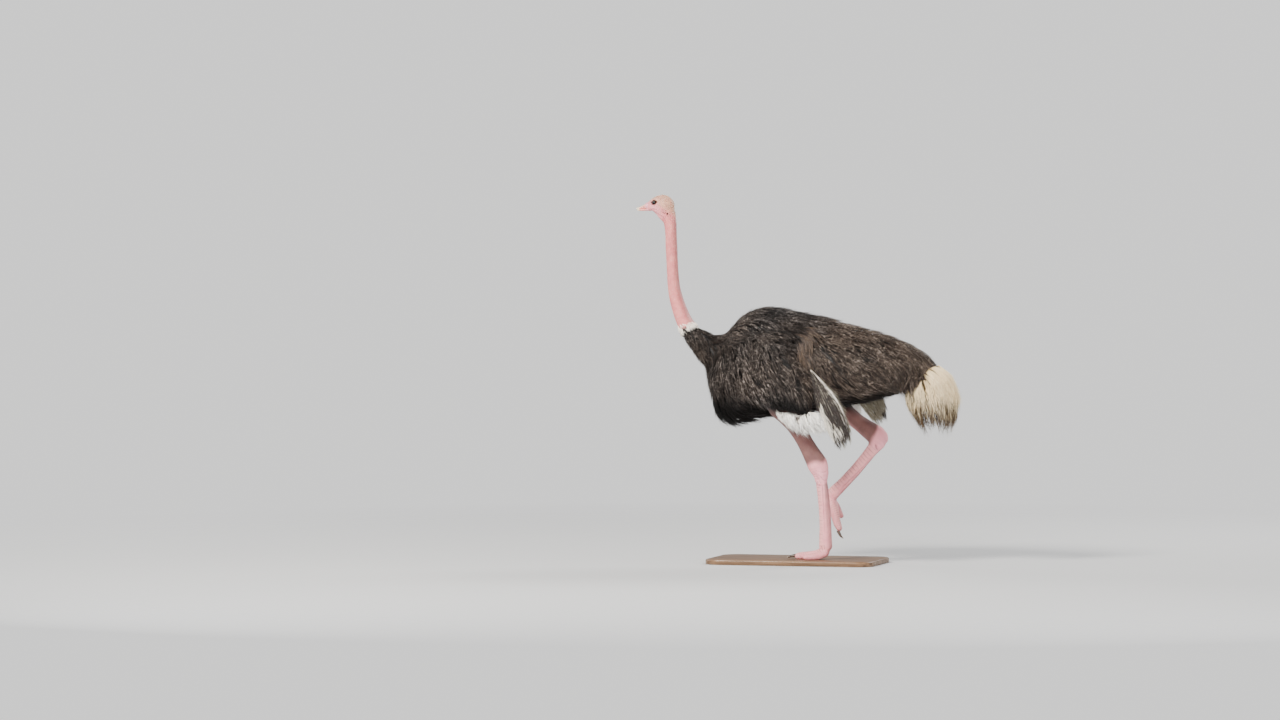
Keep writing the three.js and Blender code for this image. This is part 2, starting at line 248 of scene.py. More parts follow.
show("base_board", board_mesh(), walnut(), "base_wood", "stand_base")


# ---- Hide ----
# The bare pink hide of the neck, head and legs, and the hide that the plumage grows from, near-black as
# painted shade.
# It is one closed skin: scutes down the shins and toes, lids round the eyes, folds at the hocks.

THIN_SHARE = 0.42
WRAP_CELL = 0.004
FORM_CELL = 0.011
NECK_CELL = 0.006
COAT_DEPTH = 0.030
VALLEY_FILL = 0.026
FORM_INSET = 0.004
TAIL_DEPTH = 0.040
TAIL_SHARE = 0.58
RUMP_MIDDLE, RUMP_HALF, RUMP_TURN = (0.72, 0, 1.10), (0.12, 0.085, 0.06), 0.5
THIGH_HALF, THIGH_INWARD, THIGH_ABOVE = (0.088, 0.07, 0.19), 0.012, 0.12
FLESH = ["trunk", "neck_base", "neck_lower", "neck_middle", "neck_upper", "head"]
LIMBS = ["shank", "tarsus", "toe_inner", "toe_outer"]
SIDES = {"left": -1, "right": 1}
THROAT_LEVEL = 1.984
CERE_FRONT = -0.915
BILL_ROOT = -0.8914
LID_HALF_LENGTH = 0.0165
LID_RISE = 0.0104
LID_FALL = 0.0088
LOOK_WAY = (-0.16, 0.04)
EYE_TILT = (-0.95, 0, -0.24)
EAR_PLACE = (-0.773, 0.036, 2.028)
EAR_SIZE = 0.0092
LORE_PLACE = (-0.8785, 2.0775)
CHEEK_PLACE = (-0.812, 2.056)
GAPE_LINE = [(-0.893, 2.0535), (-0.872, 2.0545), (-0.852, 2.0560), (-0.838, 2.0520)]
EAR_FOLD = [(-0.799, 2.036), (-0.790, 2.031), (-0.783, 2.033)]
BROW_LINE = [(-0.884, 2.0955), (-0.862, 2.1125), (-0.834, 2.1155), (-0.815, 2.106)]
JAW_LINE = [(-0.885, 2.046), (-0.84, 2.034), (-0.80, 2.008), (-0.785, 1.985)]
NECK_FOLD_PITCH = 0.0115
HOCK_FOLD_PITCH = 0.0105
SCUTE_PITCH = 0.021
TOE_SCUTE_PITCH = 0.0125
NECK_TONES = "#c4686b", "#df8982"
LEG_TONES = "#da8187", "#fdaeac"
DUSKY_SHADE_TONES = "#423029", "#694d45"
CROWN_TONES = "#bb8a6e", "#d8ac8a"
FLUSH_HIGHLIGHT_PINK = "#ffb0bc"
SCUTE_PINK = "#f0aaa6"
CREASE_SHADE_RED = "#743740"
HOLLOW_SHADE_DARK = "#2c1113"
ROOT_SHADE_DARK = "#130f0d"
TAIL_ROOT_SHADE_TAN = "#8d7550"


def places_of(mesh):
    """The places of a mesh's vertices, one to a row."""
    places = np.empty(len(mesh.vertices) * 3, np.float32)
    mesh.vertices.foreach_get("co", places)
    return places.reshape(-1, 3).astype(float)


def normals_of(mesh):
    """The way out of a mesh at each of its vertices, one to a row."""
    normals = np.empty(len(mesh.vertices) * 3, np.float32)
    mesh.vertex_normals.foreach_get("vector", normals)
    return normals.reshape(-1, 3).astype(float)


def move_to(mesh, places):
    """Moves a mesh's vertices to places, one to a row."""
    mesh.vertices.foreach_set("co", places.astype(np.float32).ravel())
    mesh.update()


def triangles_of(mesh):
    """The corners of a mesh's triangles, three to a row."""
    mesh.calc_loop_triangles()
    faces = np.empty(len(mesh.loop_triangles) * 3, np.int32)
    mesh.loop_triangles.foreach_get("vertices", faces)
    return faces.reshape(-1, 3)


def set_down(loose, name):
    """A mesh with the shape of a loose one, which is let go."""
    made = bpy.data.meshes.new(name)
    loose.to_mesh(made)
    loose.free()
    return made


def wrapped(parts, cell, rounds):
    """Closed meshes joined under one even skin of the given cell, then relaxed."""
    loose = bmesh.new()
    for part in parts:
        loose.from_mesh(part)
    body = bpy.data.objects.new("whole", set_down(loose, "whole"))
    bpy.context.scene.collection.objects.link(body)
    wrap = body.modifiers.new("wrap", "REMESH")
    wrap.mode = "VOXEL"
    wrap.voxel_size = cell
    graph = bpy.context.evaluated_depsgraph_get()
    made = bpy.data.meshes.new_from_object(body.evaluated_get(graph))
    bpy.data.objects.remove(body)
    relax(made, rounds)
    return made


def relax(mesh, rounds):
    """Each vertex moves half-way to the mean of its neighbours, again and again."""
    places = places_of(mesh)
    edges = np.empty(len(mesh.edges) * 2, np.int32)
    mesh.edges.foreach_get("vertices", edges)
    one, other = edges.reshape(-1, 2).T
    near = np.bincount(edges, minlength=len(places))
    for _ in range(rounds):
        for axis in range(3):
            line = places[:, axis]
            total = np.bincount(one, line[other], len(line)) + np.bincount(other, line[one], len(line))
            places[:, axis] = (line + total / near) / 2
    move_to(mesh, places)


def node_copy(name, swell=0.0):
    """A frame node's mesh with its corners joined, and its surface moved out by a swell."""
    loose = bmesh.new()
    loose.from_mesh(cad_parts[name].data)
    bmesh.ops.remove_doubles(loose, verts=loose.verts, dist=1e-5)
    loose.normal_update()
    for vertex in loose.verts:
        vertex.co += vertex.normal * swell
    return set_down(loose, name)


def ball(middle, half, turn=0.0):
    """A closed ball drawn out to half-sizes along its own axes and turned about Y."""
    loose = bmesh.new()
    bmesh.ops.create_uvsphere(loose, u_segments=32, v_segments=20, radius=1)
    place = Matrix.Translation(middle) @ Matrix.Rotation(turn, 4, "Y") @ Matrix.Diagonal((*half, 1))
    loose.transform(place)
    return set_down(loose, "ball")


def tree_of(mesh):
    """A search tree of a mesh's triangles."""
    return BVHTree.FromPolygons(places_of(mesh).tolist(), triangles_of(mesh).tolist())


def sunk(mesh, depth):
    """The mesh drawn in by a depth, or by a share of its thickness where it is thin."""
    places, normals = places_of(mesh), normals_of(mesh)
    inside = tree_of(mesh)
    depths = np.full(len(places), depth)
    for i, (place, normal) in enumerate(zip(places, normals)):
        *_, far = inside.ray_cast(Vector(place - normal * 1e-4), Vector(-normal), 1.0)
        if far is not None:
            depths[i] = min(depth, far * THIN_SHARE)
    move_to(mesh, places - normals * depths[:, None])
    relax(mesh, 12)
    return mesh


def united(first, *others):
    """One closed mesh from several that run into each other."""
    body = bpy.data.objects.new("united", first)
    bpy.context.scene.collection.objects.link(body)
    extra = []
    for mesh in others:
        part = bpy.data.objects.new("part", mesh)
        bpy.context.scene.collection.objects.link(part)
        extra.append(part)
        union = body.modifiers.new("join", "BOOLEAN")
        union.operation = "UNION"
        union.solver = "MANIFOLD"
        union.object = part
    graph = bpy.context.evaluated_depsgraph_get()
    made = bpy.data.meshes.new_from_object(body.evaluated_get(graph))
    for part in [body, *extra]:
        bpy.data.objects.remove(part)
    return made


def smooth(low, high, value):
    """A share that eases from 0 at low to 1 at high."""
    share = np.clip((value - low) / (high - low), 0, 1)
    return share * share * (3 - 2 * share)


def dome(value, size):
    """A soft bump: 1 at zero, falling away over a size."""
    return np.exp(-((value / size) ** 2))


def unit(vectors):
    """Vectors drawn out or in to a length of one."""
    return vectors / np.maximum(np.linalg.norm(vectors, axis=-1, keepdims=True), 1e-9)


def long_axis(name):
    """The two ends of a frame node's long axis, the upper one first, or the rear one on a toe."""
    places = places_of(node_copy(name))
    middle = (places.max(0) + places.min(0)) / 2
    way = np.linalg.svd(places - places.mean(0), full_matrices=False)[2][0]
    along = (places - middle) @ way
    ends = [middle + way * along.min(), middle + way * along.max()]
    return sorted(ends, key=lambda end: -(end[2] + 0.2 * end[0]))


def from_line(places, start, end):
    """The share along a line, and the place beside it, of each place."""
    line = end - start
    share = (places - start) @ line / (line @ line)
    return share, places - start - share[:, None] * line


def line_distance(places, points):
    """How far each two-number place is from a bent line."""
    best = np.full(len(places), np.inf)
    for start, end in zip(points, points[1:]):
        start, run = np.array(start), np.array(end) - np.array(start)
        share = np.clip((places - start) @ run / (run @ run), 0, 1)
        best = np.minimum(best, np.linalg.norm(places - start - share[:, None] * run, axis=1))
    return best


def bill_root(name, front, swell):
    """The rear end of a bill blade, a little swollen, for the soft hide at the root of the bill."""
    loose = bmesh.new()
    loose.from_mesh(node_copy(name, swell))
    parts = [*loose.verts, *loose.edges, *loose.faces]
    cut = bmesh.ops.bisect_plane(
        loose, geom=parts, plane_co=(front, 0, 0), plane_no=(-1, 0, 0), clear_outer=True
    )
    rim = [part for part in cut["geom_cut"] if isinstance(part, bmesh.types.BMEdge)]
    bmesh.ops.holes_fill(loose, edges=rim)
    return set_down(loose, name)


def refined(mesh, chosen):
    """The mesh with the faces whose middles are chosen cut into four."""
    loose = bmesh.new()
    loose.from_mesh(mesh)
    edges = {edge for face in loose.faces if chosen(face.calc_center_median()) for edge in face.edges}
    bmesh.ops.subdivide_edges(loose, edges=list(edges), cuts=1, use_grid_fill=True, smooth=0.6)
    bmesh.ops.triangulate(loose, faces=loose.faces)
    loose.to_mesh(mesh)
    loose.free()


leg_nodes = [f"leg_{label}_{limb}" for label in SIDES for limb in LIMBS]
neck_and_head = FLESH[1:]
coverts = [f"wing_{label}_coverts" for label in SIDES]
form = wrapped([node_copy(n, VALLEY_FILL) for n in ["trunk", "neck_base", *coverts]], FORM_CELL, 8)
move_to(form, places_of(form) - normals_of(form) * (VALLEY_FILL - FORM_INSET))
relax(form, 6)
form_tree = tree_of(form)
core = sunk(form.copy(), COAT_DEPTH)

thighs = []
for label, side in SIDES.items():
    top, foot = long_axis(f"leg_{label}_shank")
    lean = math.atan2(foot[0] - top[0], top[2] - foot[2])
    middle = top + (top - foot) * THIGH_ABOVE
    thighs.append(ball(middle - np.array([0, side * THIGH_INWARD, 0]), THIGH_HALF, -lean))
face = [bill_root("bill_upper", CERE_FRONT, 0.0018), bill_root("bill_lower", CERE_FRONT, 0.0042)]
eyes = [node_copy(f"eye_{label}", -0.001) for label in SIDES]
bare_nodes = [node_copy(n, 0.0014) for n in neck_and_head[1:] + leg_nodes]
bare = wrapped(bare_nodes + face + eyes + thighs, WRAP_CELL, 20)
neck_root = wrapped([node_copy("neck_base"), node_copy("neck_lower", 0.001)], NECK_CELL, 14)
neck_root = sunk(neck_root, 0.012)
rump = ball(RUMP_MIDDLE, RUMP_HALF, RUMP_TURN)
tail_root = sunk(wrapped([node_copy("tail")], FORM_CELL, 4), TAIL_DEPTH)
places = places_of(tail_root)
top = places[:, 2].max()
places[:, 2] = top - (top - places[:, 2]) * TAIL_SHARE
move_to(tail_root, places)
hide = united(core, neck_root, rump, tail_root, bare)

eye_boxes = {label: [np.array(corner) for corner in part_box(f"eye_{label}")] for label in SIDES}
eye_middles = {label: (low + high) / 2 for label, (low, high) in eye_boxes.items()}
eye_radius = (eye_boxes["left"][1] - eye_boxes["left"][0])[2] / 2
eye_x, _, eye_z = eye_middles["left"]
refined(hide, lambda p: p.z > THROAT_LEVEL)
refined(hide, lambda p: math.hypot(p.x - eye_x, p.z - eye_z) < 0.034)


def mask(mesh, name, values):
    """Writes one number for each vertex, which a material reads by name."""
    made = mesh.attributes.new(name, "FLOAT", "POINT")
    made.data.foreach_set("value", np.asarray(values, np.float32))


def eye_ways(side):
    """The way an eye looks, the way along its opening to the front, and the way up across it."""
    ahead = unit(np.array([LOOK_WAY[0], side, LOOK_WAY[1]]))
    along = unit(np.array(EYE_TILT) - np.dot(EYE_TILT, ahead) * ahead)
    upright = np.cross(ahead, along)
    return ahead, along, upright * np.sign(upright[2])


def lids(places, side, middle):
    """Places near an eye, drawn out over the eyeball as lids and in behind it at the opening, with painted
    shade in the lid fold and at the rims.
    """
    away = places - middle
    far = np.linalg.norm(away, axis=1)
    ahead, along, upright = eye_ways(side)
    up = away @ upright
    from_slit = np.abs(up) / np.where(up > 0, LID_RISE, LID_FALL)
    from_slit = from_slit + (away @ along / LID_HALF_LENGTH) ** 2
    rim = 1 - smooth(0.90, 1.03, from_slit)
    over = eye_radius + 0.0021 - 0.0009 * smooth(1.0, 1.5, from_slit)
    wanted = over * (1 - rim) + (eye_radius - 0.004) * rim
    facing = smooth(0.0, 0.004, away @ ahead)
    hold = (1 - smooth(1.35, 2.5, from_slit)) * facing
    moved = middle + away * (1 + hold * (wanted / np.maximum(far, 1e-6) - 1))[:, None]
    # Painted shade in the fold round the lids.
    crease_shade = 0.6 * dome(from_slit - 1.62, 0.09)
    # Painted shade at the rim of the lid opening.
    return moved, crease_shade * facing, dome(from_slit - 1.0, 0.16) * facing


places, normals = places_of(hide), normals_of(hide)
x, y, z = places.T
head = smooth(THROAT_LEVEL, THROAT_LEVEL + 0.02, z)
# Painted shade: the gape, the jaw line, the seams between scutes, the folds and grooves at the hocks and
# the fold round each lid are darkened in the creases mask.
crease_shade = np.zeros(len(places))
rise = np.zeros(len(places))
from_side = np.column_stack([x, z])
gape = line_distance(from_side, GAPE_LINE)
rise += head * (-0.0022 * dome(gape, 0.0018) + 0.0011 * dome(gape - 0.0052, 0.003))
# Painted shade along the gape.
crease_shade += head * dome(gape, 0.0022)
ear = np.hypot((x - EAR_PLACE[0]) * 1.25, z - EAR_PLACE[2])
rise += head * (-0.008 * (1 - smooth(0.30, 0.95, ear / EAR_SIZE)) + 0.0014 * dome(ear - 0.0112, 0.003))
# Painted shade: the ear opening is darkened.
hollow_shade = head * (1 - smooth(0.50, 0.95, ear / EAR_SIZE))
fold = line_distance(from_side, EAR_FOLD)
rise -= head * 0.004 * dome(fold, 0.0024)
# Painted shadow: the fold before the ear is darkened, as the jaw's corner shades it.
hollow_shade += head * 0.75 * dome(fold, 0.0026)
brow = line_distance(from_side, BROW_LINE)
rise += head * 0.0022 * dome(brow, 0.006)
lore = np.hypot(x - LORE_PLACE[0], z - LORE_PLACE[1])
rise -= head * 0.0020 * dome(lore, 0.010)
edge = BILL_ROOT + 0.004 + 0.0015 * np.sin(260 * z) - 0.10 * (z - 2.06)
rise -= head * 0.0034 * smooth(edge, edge - 0.011, x)
cheek = np.hypot((x - CHEEK_PLACE[0]) * 0.8, z - CHEEK_PLACE[1])
rise += head * 0.0025 * dome(cheek, 0.020)
jaw = line_distance(from_side, JAW_LINE)
rise -= head * 0.0014 * dome(jaw, 0.003)
# Painted shade along the jaw line.
crease_shade += head * 0.6 * dome(jaw, 0.004)

neck = smooth(1.33, 1.40, z) * (x < -0.5)
turn = np.arctan2(y, x + 0.755)
rise += neck * 0.0007 * np.sin(9 * turn + 6 * z) * np.sin(31 * z + 2 * np.sin(3 * turn))
ringed = np.sin(2 * math.pi * (z / NECK_FOLD_PITCH + 0.35 * np.sin(2 * turn + 17 * z)))
rise += neck * (1 - head) * 0.00045 * ringed * (0.4 + 0.6 * dome(z - 1.95, 0.09))

flush_and_highlight = dome(x + 0.85, 0.05) * head * 0.6
# Painted shade: the rear side of the neck is darkened, as on the side turned away from the light.
dusky_shade = 0.30 * neck * (1 - head) * smooth(0.15, 0.85, normals[:, 0])
near_leg = np.zeros(len(places))
plate = np.zeros(len(places))
for label, side in SIDES.items():
    this_side = np.sign(y) == side
    this_leg = this_side & (z < 0.99) & (x > -0.3)
    knee, hock = long_axis(f"leg_{label}_shank")
    _, foot = long_axis(f"leg_{label}_tarsus")
    down, beside = from_line(places, hock, foot)
    fallen, off_shank = from_line(places, knee, hock)
    near_leg += this_side * smooth(0.100, 0.085, np.linalg.norm(off_shank, axis=1))
    shin_length = np.linalg.norm(foot - hock)
    above = (1 - fallen) * np.linalg.norm(hock - knee) > down * shin_length
    on_shank, on_tarsus = this_leg * above, this_leg * ~above
    ahead = unit(np.cross([0, 1, 0], foot - hock))
    ahead = ahead if ahead[0] < 0 else -ahead
    facing = unit(beside) @ ahead
    # Broad scutes in one row down the front of the tarsus.
    shin = smooth(0.10, 0.16, down) * smooth(1.0, 0.97, down) * smooth(-0.15, 0.75, facing) * this_leg
    step = down * shin_length / SCUTE_PITCH + 0.12 * np.sin(19 * down)
    fall = step - np.floor(step)
    seam = np.minimum(fall, 1 - fall)
    rise += shin * (0.0012 * (1 - fall) - 0.0016 * dome(seam, 0.07))
    # Painted shade in the seams between the scutes.
    crease_shade += shin * 0.8 * dome(seam, 0.08)
    plate = np.maximum(plate, shin)
    # Folds across the front of the hock, and a sinew down the back of the shank.
    from_hock = np.linalg.norm((places - hock) * [1, 0.6, 1], axis=1)
    fold = np.sin(2 * math.pi * (down * shin_length / HOCK_FOLD_PITCH + 0.2 * np.sin(40 * y)))
    folded = this_leg * dome(from_hock, 0.062) * smooth(0.1, 0.8, facing)
    rise += folded * 0.0016 * fold
    # Painted shade in the troughs of the hock folds.
    crease_shade += folded * 0.8 * smooth(-0.1, -0.9, fold)
    rearward = smooth(0.3, 0.9, -(unit(off_shank) @ ahead))
    rise += on_shank * rearward * dome(fallen - 0.72, 0.2) * 0.002
    # Flushed pink at the hock and tarsus, partly a painted highlight; dusky brown on the shank and the
    # rear of the tarsus, mostly painted shade.
    # Painted highlight: round the hock the flush is paler and stands for sunlight on the knob, over a real
    # pink flush.
    flush_and_highlight += this_leg * (dome(from_hock, 0.085) + 0.3 * smooth(0.0, 0.4, down) * ~above)
    # Painted shade: the upper shank is darkened as if the body's shadow lay on it, over a real dusky tone.
    dusky_shade += on_shank * smooth(0.88, 0.82, fallen + 0.03 * np.sin(45 * y + 30 * x))
    # Painted shade: the rear edge of the tarsus is darkened where it faces away from the light.
    shaded = smooth(0.45, 0.9, -facing) * smooth(0.04, 0.12, down) * (1 - 0.6 * down)
    dusky_shade += 0.75 * on_tarsus * shaded
    # A crease under the knob of the hock, the groove beside the tendon, and the knob's own lumps.
    under_knob = on_tarsus * dome(from_hock - 0.054, 0.0040) * smooth(-0.3, 0.4, facing)
    tendon = on_tarsus * dome(facing + 0.28, 0.13) * smooth(0.09, 0.15, down) * smooth(0.9, 0.5, down)
    rise -= 0.0030 * under_knob + 0.0030 * tendon
    # Painted shade in the crease under the knob and in the groove beside the tendon.
    crease_shade += 0.8 * under_knob + 0.75 * tendon
    knob = this_leg * dome(from_hock - 0.018, 0.040)
    rise += knob * 0.0045 * np.sin(70 * x + 45 * z) * np.cos(55 * y)
    groove = np.sin(95 * (x + z) + 2.5 * np.sin(60 * y) + 1.5 * np.sin(40 * (x - z)))
    rise -= knob * 0.0022 * dome(groove, 0.22)
    # Painted shade in the grooves between the knob's lumps.
    crease_shade += knob * 0.9 * dome(groove, 0.16)
    for toe in ("toe_inner", "toe_outer"):
        root, tip = long_axis(f"leg_{label}_{toe}")
        share, off = from_line(places, root, tip)
        near = np.linalg.norm(off, axis=1) < 0.045
        near = near * smooth(0.0, 0.1, share) * smooth(1.05, 0.98, share)
        topside = unit(np.cross(tip - root, [0, 1, 0]))
        topside = topside if topside @ [-0.4, 0, 1] > 0 else -topside
        upper = near * smooth(0.1, 0.8, unit(off) @ topside) * this_leg
        step = share * np.linalg.norm(tip - root) / TOE_SCUTE_PITCH
        seam = np.abs(step - np.round(step))
        rise += upper * (0.0005 - 0.0014 * dome(seam, 0.10))
        # Painted shade in the seams between the toe scutes.
        crease_shade += upper * dome(seam, 0.1)
        plate = np.maximum(plate, upper)

places += normals * rise[:, None]
for label, side in SIDES.items():
    beside_eye = (np.linalg.norm(places - eye_middles[label], axis=1) < 0.05) & (np.sign(y) == side)
    moved, lid_crease_shade, lid_edge_shade = lids(places[beside_eye], side, eye_middles[label])
    places[beside_eye] = moved
    crease_shade[beside_eye] += lid_crease_shade
    hollow_shade[beside_eye] = np.maximum(hollow_shade[beside_eye], lid_edge_shade)
hide.shade_smooth()
move_to(hide, places)

bare_part = smooth(1.345, 1.368, z - 0.30 * (x + 0.70)) * (x < -0.5)
bare_leg = smooth(0.93, 0.84, z) * np.maximum(near_leg, smooth(0.78, 0.74, z)) * (x > -0.4)
crown = smooth(2.045, 2.085, z + 0.55 * (x + 0.80)) * smooth(-0.895, -0.865, x)
# Painted shade: the plumed hide is near-black and stands for the shade in the gaps between plumes.
mask(hide, "plumed", 1 - np.maximum(bare_part, bare_leg))
# Painted shade: the core under the tail is brown and reads as shaded plumes through the gaps.
mask(hide, "tail_root", smooth(0.70, 0.76, x - 0.5 * (z - 1.0)))
mask(hide, "hollow_shade", hollow_shade)
mask(hide, "crown", head * crown)
mask(hide, "leg", bare_leg)
for name, values in {"flush_and_highlight": flush_and_highlight, "dusky_shade": dusky_shade, "crease_shade": crease_shade, "plate": plate}.items():
    mask(hide, name, np.clip(values, 0, 1))

# Small scales of horny hide: rounded cells with a narrow groove round each.
pebbles, taken, given = new_group(
    "pebbles", {"Vector": "Vector", "Scale": "Float"}, {"Groove": "Float", "Height": "Float"}
)
cells = {name: taken.outputs[name] for name in ("Vector", "Scale")}
edge = put(pebbles, "TexVoronoi", {**cells, "Randomness": 0.8}, feature="DISTANCE_TO_EDGE")
edge = edge.outputs["Distance"]
feed(pebbles, ranged(pebbles, edge, 0.0, 0.22), given.inputs["Height"])
feed(pebbles, ranged(pebbles, edge, 0.07, 0.0), given.inputs["Groove"])


def attribute(tree, name):
    """The socket of a number kept on each vertex."""
    return put(tree, "Attribute", attribute_name=name).outputs["Fac"]


def hide_finish():
    """Pink hide by the masks: flushes partly painted highlight, dusky shanks, creases, hollows and plumed
    hide darkened as painted shade, scutes, and a pale crown.
    """
    finish, tree, shader = new_finish("ostrich_hide", Subsurface_Weight=0.06, Subsurface_Scale=0.004)
    coords = put(tree, "TexCoord").outputs["Object"]
    neck_tone = mottled(tree, coords, 26, 0.6, *NECK_TONES).outputs["Colour"]
    leg_tone = mottled(tree, coords, 22, 0.6, *LEG_TONES).outputs["Colour"]
    leg = attribute(tree, "leg")
    colour = blended(tree, leg, neck_tone, leg_tone)
    # The dusky tone is painted shade, and the flush is partly a painted highlight.
    for name, weight, tone in (
        ("flush_and_highlight", 0.8, tint(FLUSH_HIGHLIGHT_PINK)),
        ("dusky_shade", 0.9, mottled(tree, coords, 14, 0.6, *DUSKY_SHADE_TONES).outputs["Colour"]),
        ("plate", 0.5, tint(SCUTE_PINK)),
        ("crown", 0.75, mottled(tree, coords, 60, 0.6, *CROWN_TONES).outputs["Colour"]),
    ):
        share = sums(tree, "MULTIPLY", attribute(tree, name), weight)
        colour = blended(tree, share, colour, tone)
    scales = placed(tree, pebbles, {"Vector": coords, "Scale": 210})
    # Painted shade: the grooves between the pebbled scales and the creases are darkened in red.
    groove = sums(tree, "MULTIPLY", scales.outputs["Groove"], sums(tree, "MULTIPLY", leg, 0.20))
    crease_shade = sums(tree, "MAXIMUM", groove, sums(tree, "MULTIPLY", attribute(tree, "crease_shade"), 0.75))
    colour = blended(tree, crease_shade, colour, tint(CREASE_SHADE_RED))
    # Painted shade: the ear hollows and lid rims, the hide under the plumage and the core of the tail are
    # darkened for the shade they stand for.
    for name, tone in (("hollow_shade", HOLLOW_SHADE_DARK), ("plumed", ROOT_SHADE_DARK), ("tail_root", TAIL_ROOT_SHADE_TAN)):
        colour = blended(tree, attribute(tree, name), colour, tint(tone))
    joined(tree, colour, shader, "Base Color")
    joined(tree, ranged(tree, scales.outputs["Height"], -1.6, 2.2), shader, "Roughness")
    wrinkle = put(tree, "Mapping", {0: coords, 3: (1, 1, 3.2)})
    fine = put(tree, "TexNoise", {0: wrinkle.outputs[0], "Scale": 150, "Detail": 5, "Roughness": 0.6})
    pitted = sums(tree, "MULTIPLY", scales.outputs["Height"], leg)
    bumped(tree, shader, sums(tree, "ADD", fine.outputs[0], pitted), 0.0009)
    return finish


show("hide", hide, hide_finish(), "leg_skin", *FLESH, *leg_nodes)


# ---- Eyes ----
# Two glass eyes, each one ball with a brown iris round a black pupil, under a clear domed cornea.
# They sit in the hide behind the lids, which cover their rims.

PUPIL = 0.0080
IRIS = 0.0150
CORNEA_RISE = 0.0012
IRIS_TONES = "#1a0b06", "#40200f"
PUPIL_BLACK = "#020202"
EYE_RIM_BROWN = "#1d100c"


def eye_mesh(side, middle):
    """A ball that looks outwards and a little ahead, with a low dome over the iris."""
    loose = bmesh.new()
    bmesh.ops.create_uvsphere(loose, u_segments=64, v_segments=48, radius=eye_radius)
    for vertex in loose.verts:
        off_axis = math.hypot(vertex.co.x, vertex.co.y)
        if vertex.co.z > 0:
            vertex.co.z += CORNEA_RISE * (1 - smooth(0.0, IRIS, off_axis))
    look = Vector((LOOK_WAY[0], side, LOOK_WAY[1])).to_track_quat("Z", "Y")
    loose.transform(Matrix.Translation(middle) @ look.to_matrix().to_4x4())
    made = set_down(loose, "eyeball")
    made.shade_smooth()
    return made


for label, side in SIDES.items():
    eyeball = eye_mesh(side, eye_middles[label])
    look = eye_ways(side)[0]
    away = places_of(eyeball) - eye_middles[label]
    off_axis = np.linalg.norm(away - (away @ look)[:, None] * look, axis=1)
    mask(eyeball, "off_axis", np.where(away @ look > 0, off_axis, eye_radius))
    glass, tree, shader = new_finish(f"eye_glass_{label}", Roughness=0.05, Specular_IOR_Level=0.32)
    ring = attribute(tree, "off_axis")
    coords = put(tree, "TexCoord").outputs["Object"]
    iris = mottled(tree, coords, 420, 0.7, *IRIS_TONES).outputs["Colour"]
    colour = blended(tree, ranged(tree, ring, PUPIL, PUPIL + 0.0008), tint(PUPIL_BLACK), iris)
    outside = ranged(tree, ring, IRIS, IRIS + 0.001)
    joined(tree, blended(tree, outside, colour, tint(EYE_RIM_BROWN)), shader, "Base Color")
    show(f"eyeball_{label}", eyeball, glass, "eye", f"eye_{label}")


# ---- Bill ----
# Two flat horny blades, pink with a cream nail at the tip and a cream ridge. The nostrils are
# slots in a groove on each side of the upper blade, and the blades meet in a thin dark line.

BILL_CELL = 0.0011
NOSTRIL = (-0.921, 2.0665)
NOSTRIL_SIZE = (0.0085, 0.0023)
NOSTRIL_TILT = 0.12
NAIL_START = -0.948
GAPE_LEVEL = 2.0545
BILL_PINKS = "#df7f79", "#f2a394"
NAIL_CREAMS = "#d8bd9b", "#efe0c4"
CERE_PINKS = "#d58a9a", "#e5a2ad"
SLOT_SHADE_DARK = "#2a1210"


def bill_finish():
    """Pink horn with a cream nail and ridge, nostrils darkened as painted shade, and soft pink hide at the
    root.
    """
    finish, tree, shader = new_finish("bill_horn", Roughness=0.38, Coat_Weight=0.15)
    coords = put(tree, "TexCoord").outputs["Object"]
    stretched = put(tree, "Mapping", {0: coords, 3: (0.35, 1.6, 1.6)}).outputs[0]
    pink = mottled(tree, stretched, 160, 0.6, *BILL_PINKS)
    cream = mottled(tree, stretched, 160, 0.6, *NAIL_CREAMS)
    cere = mottled(tree, coords, 26, 0.6, *CERE_PINKS)
    colour = blended(tree, attribute(tree, "pale"), pink.outputs["Colour"], cream.outputs["Colour"])
    colour = blended(tree, attribute(tree, "root"), colour, cere.outputs["Colour"])
    # Painted shade: the nostril slots are darkened.
    joined(tree, blended(tree, attribute(tree, "slot"), colour, tint(SLOT_SHADE_DARK)), shader, "Base Color")
    bumped(tree, shader, pink.outputs["Height"], 0.0005)
    return finish


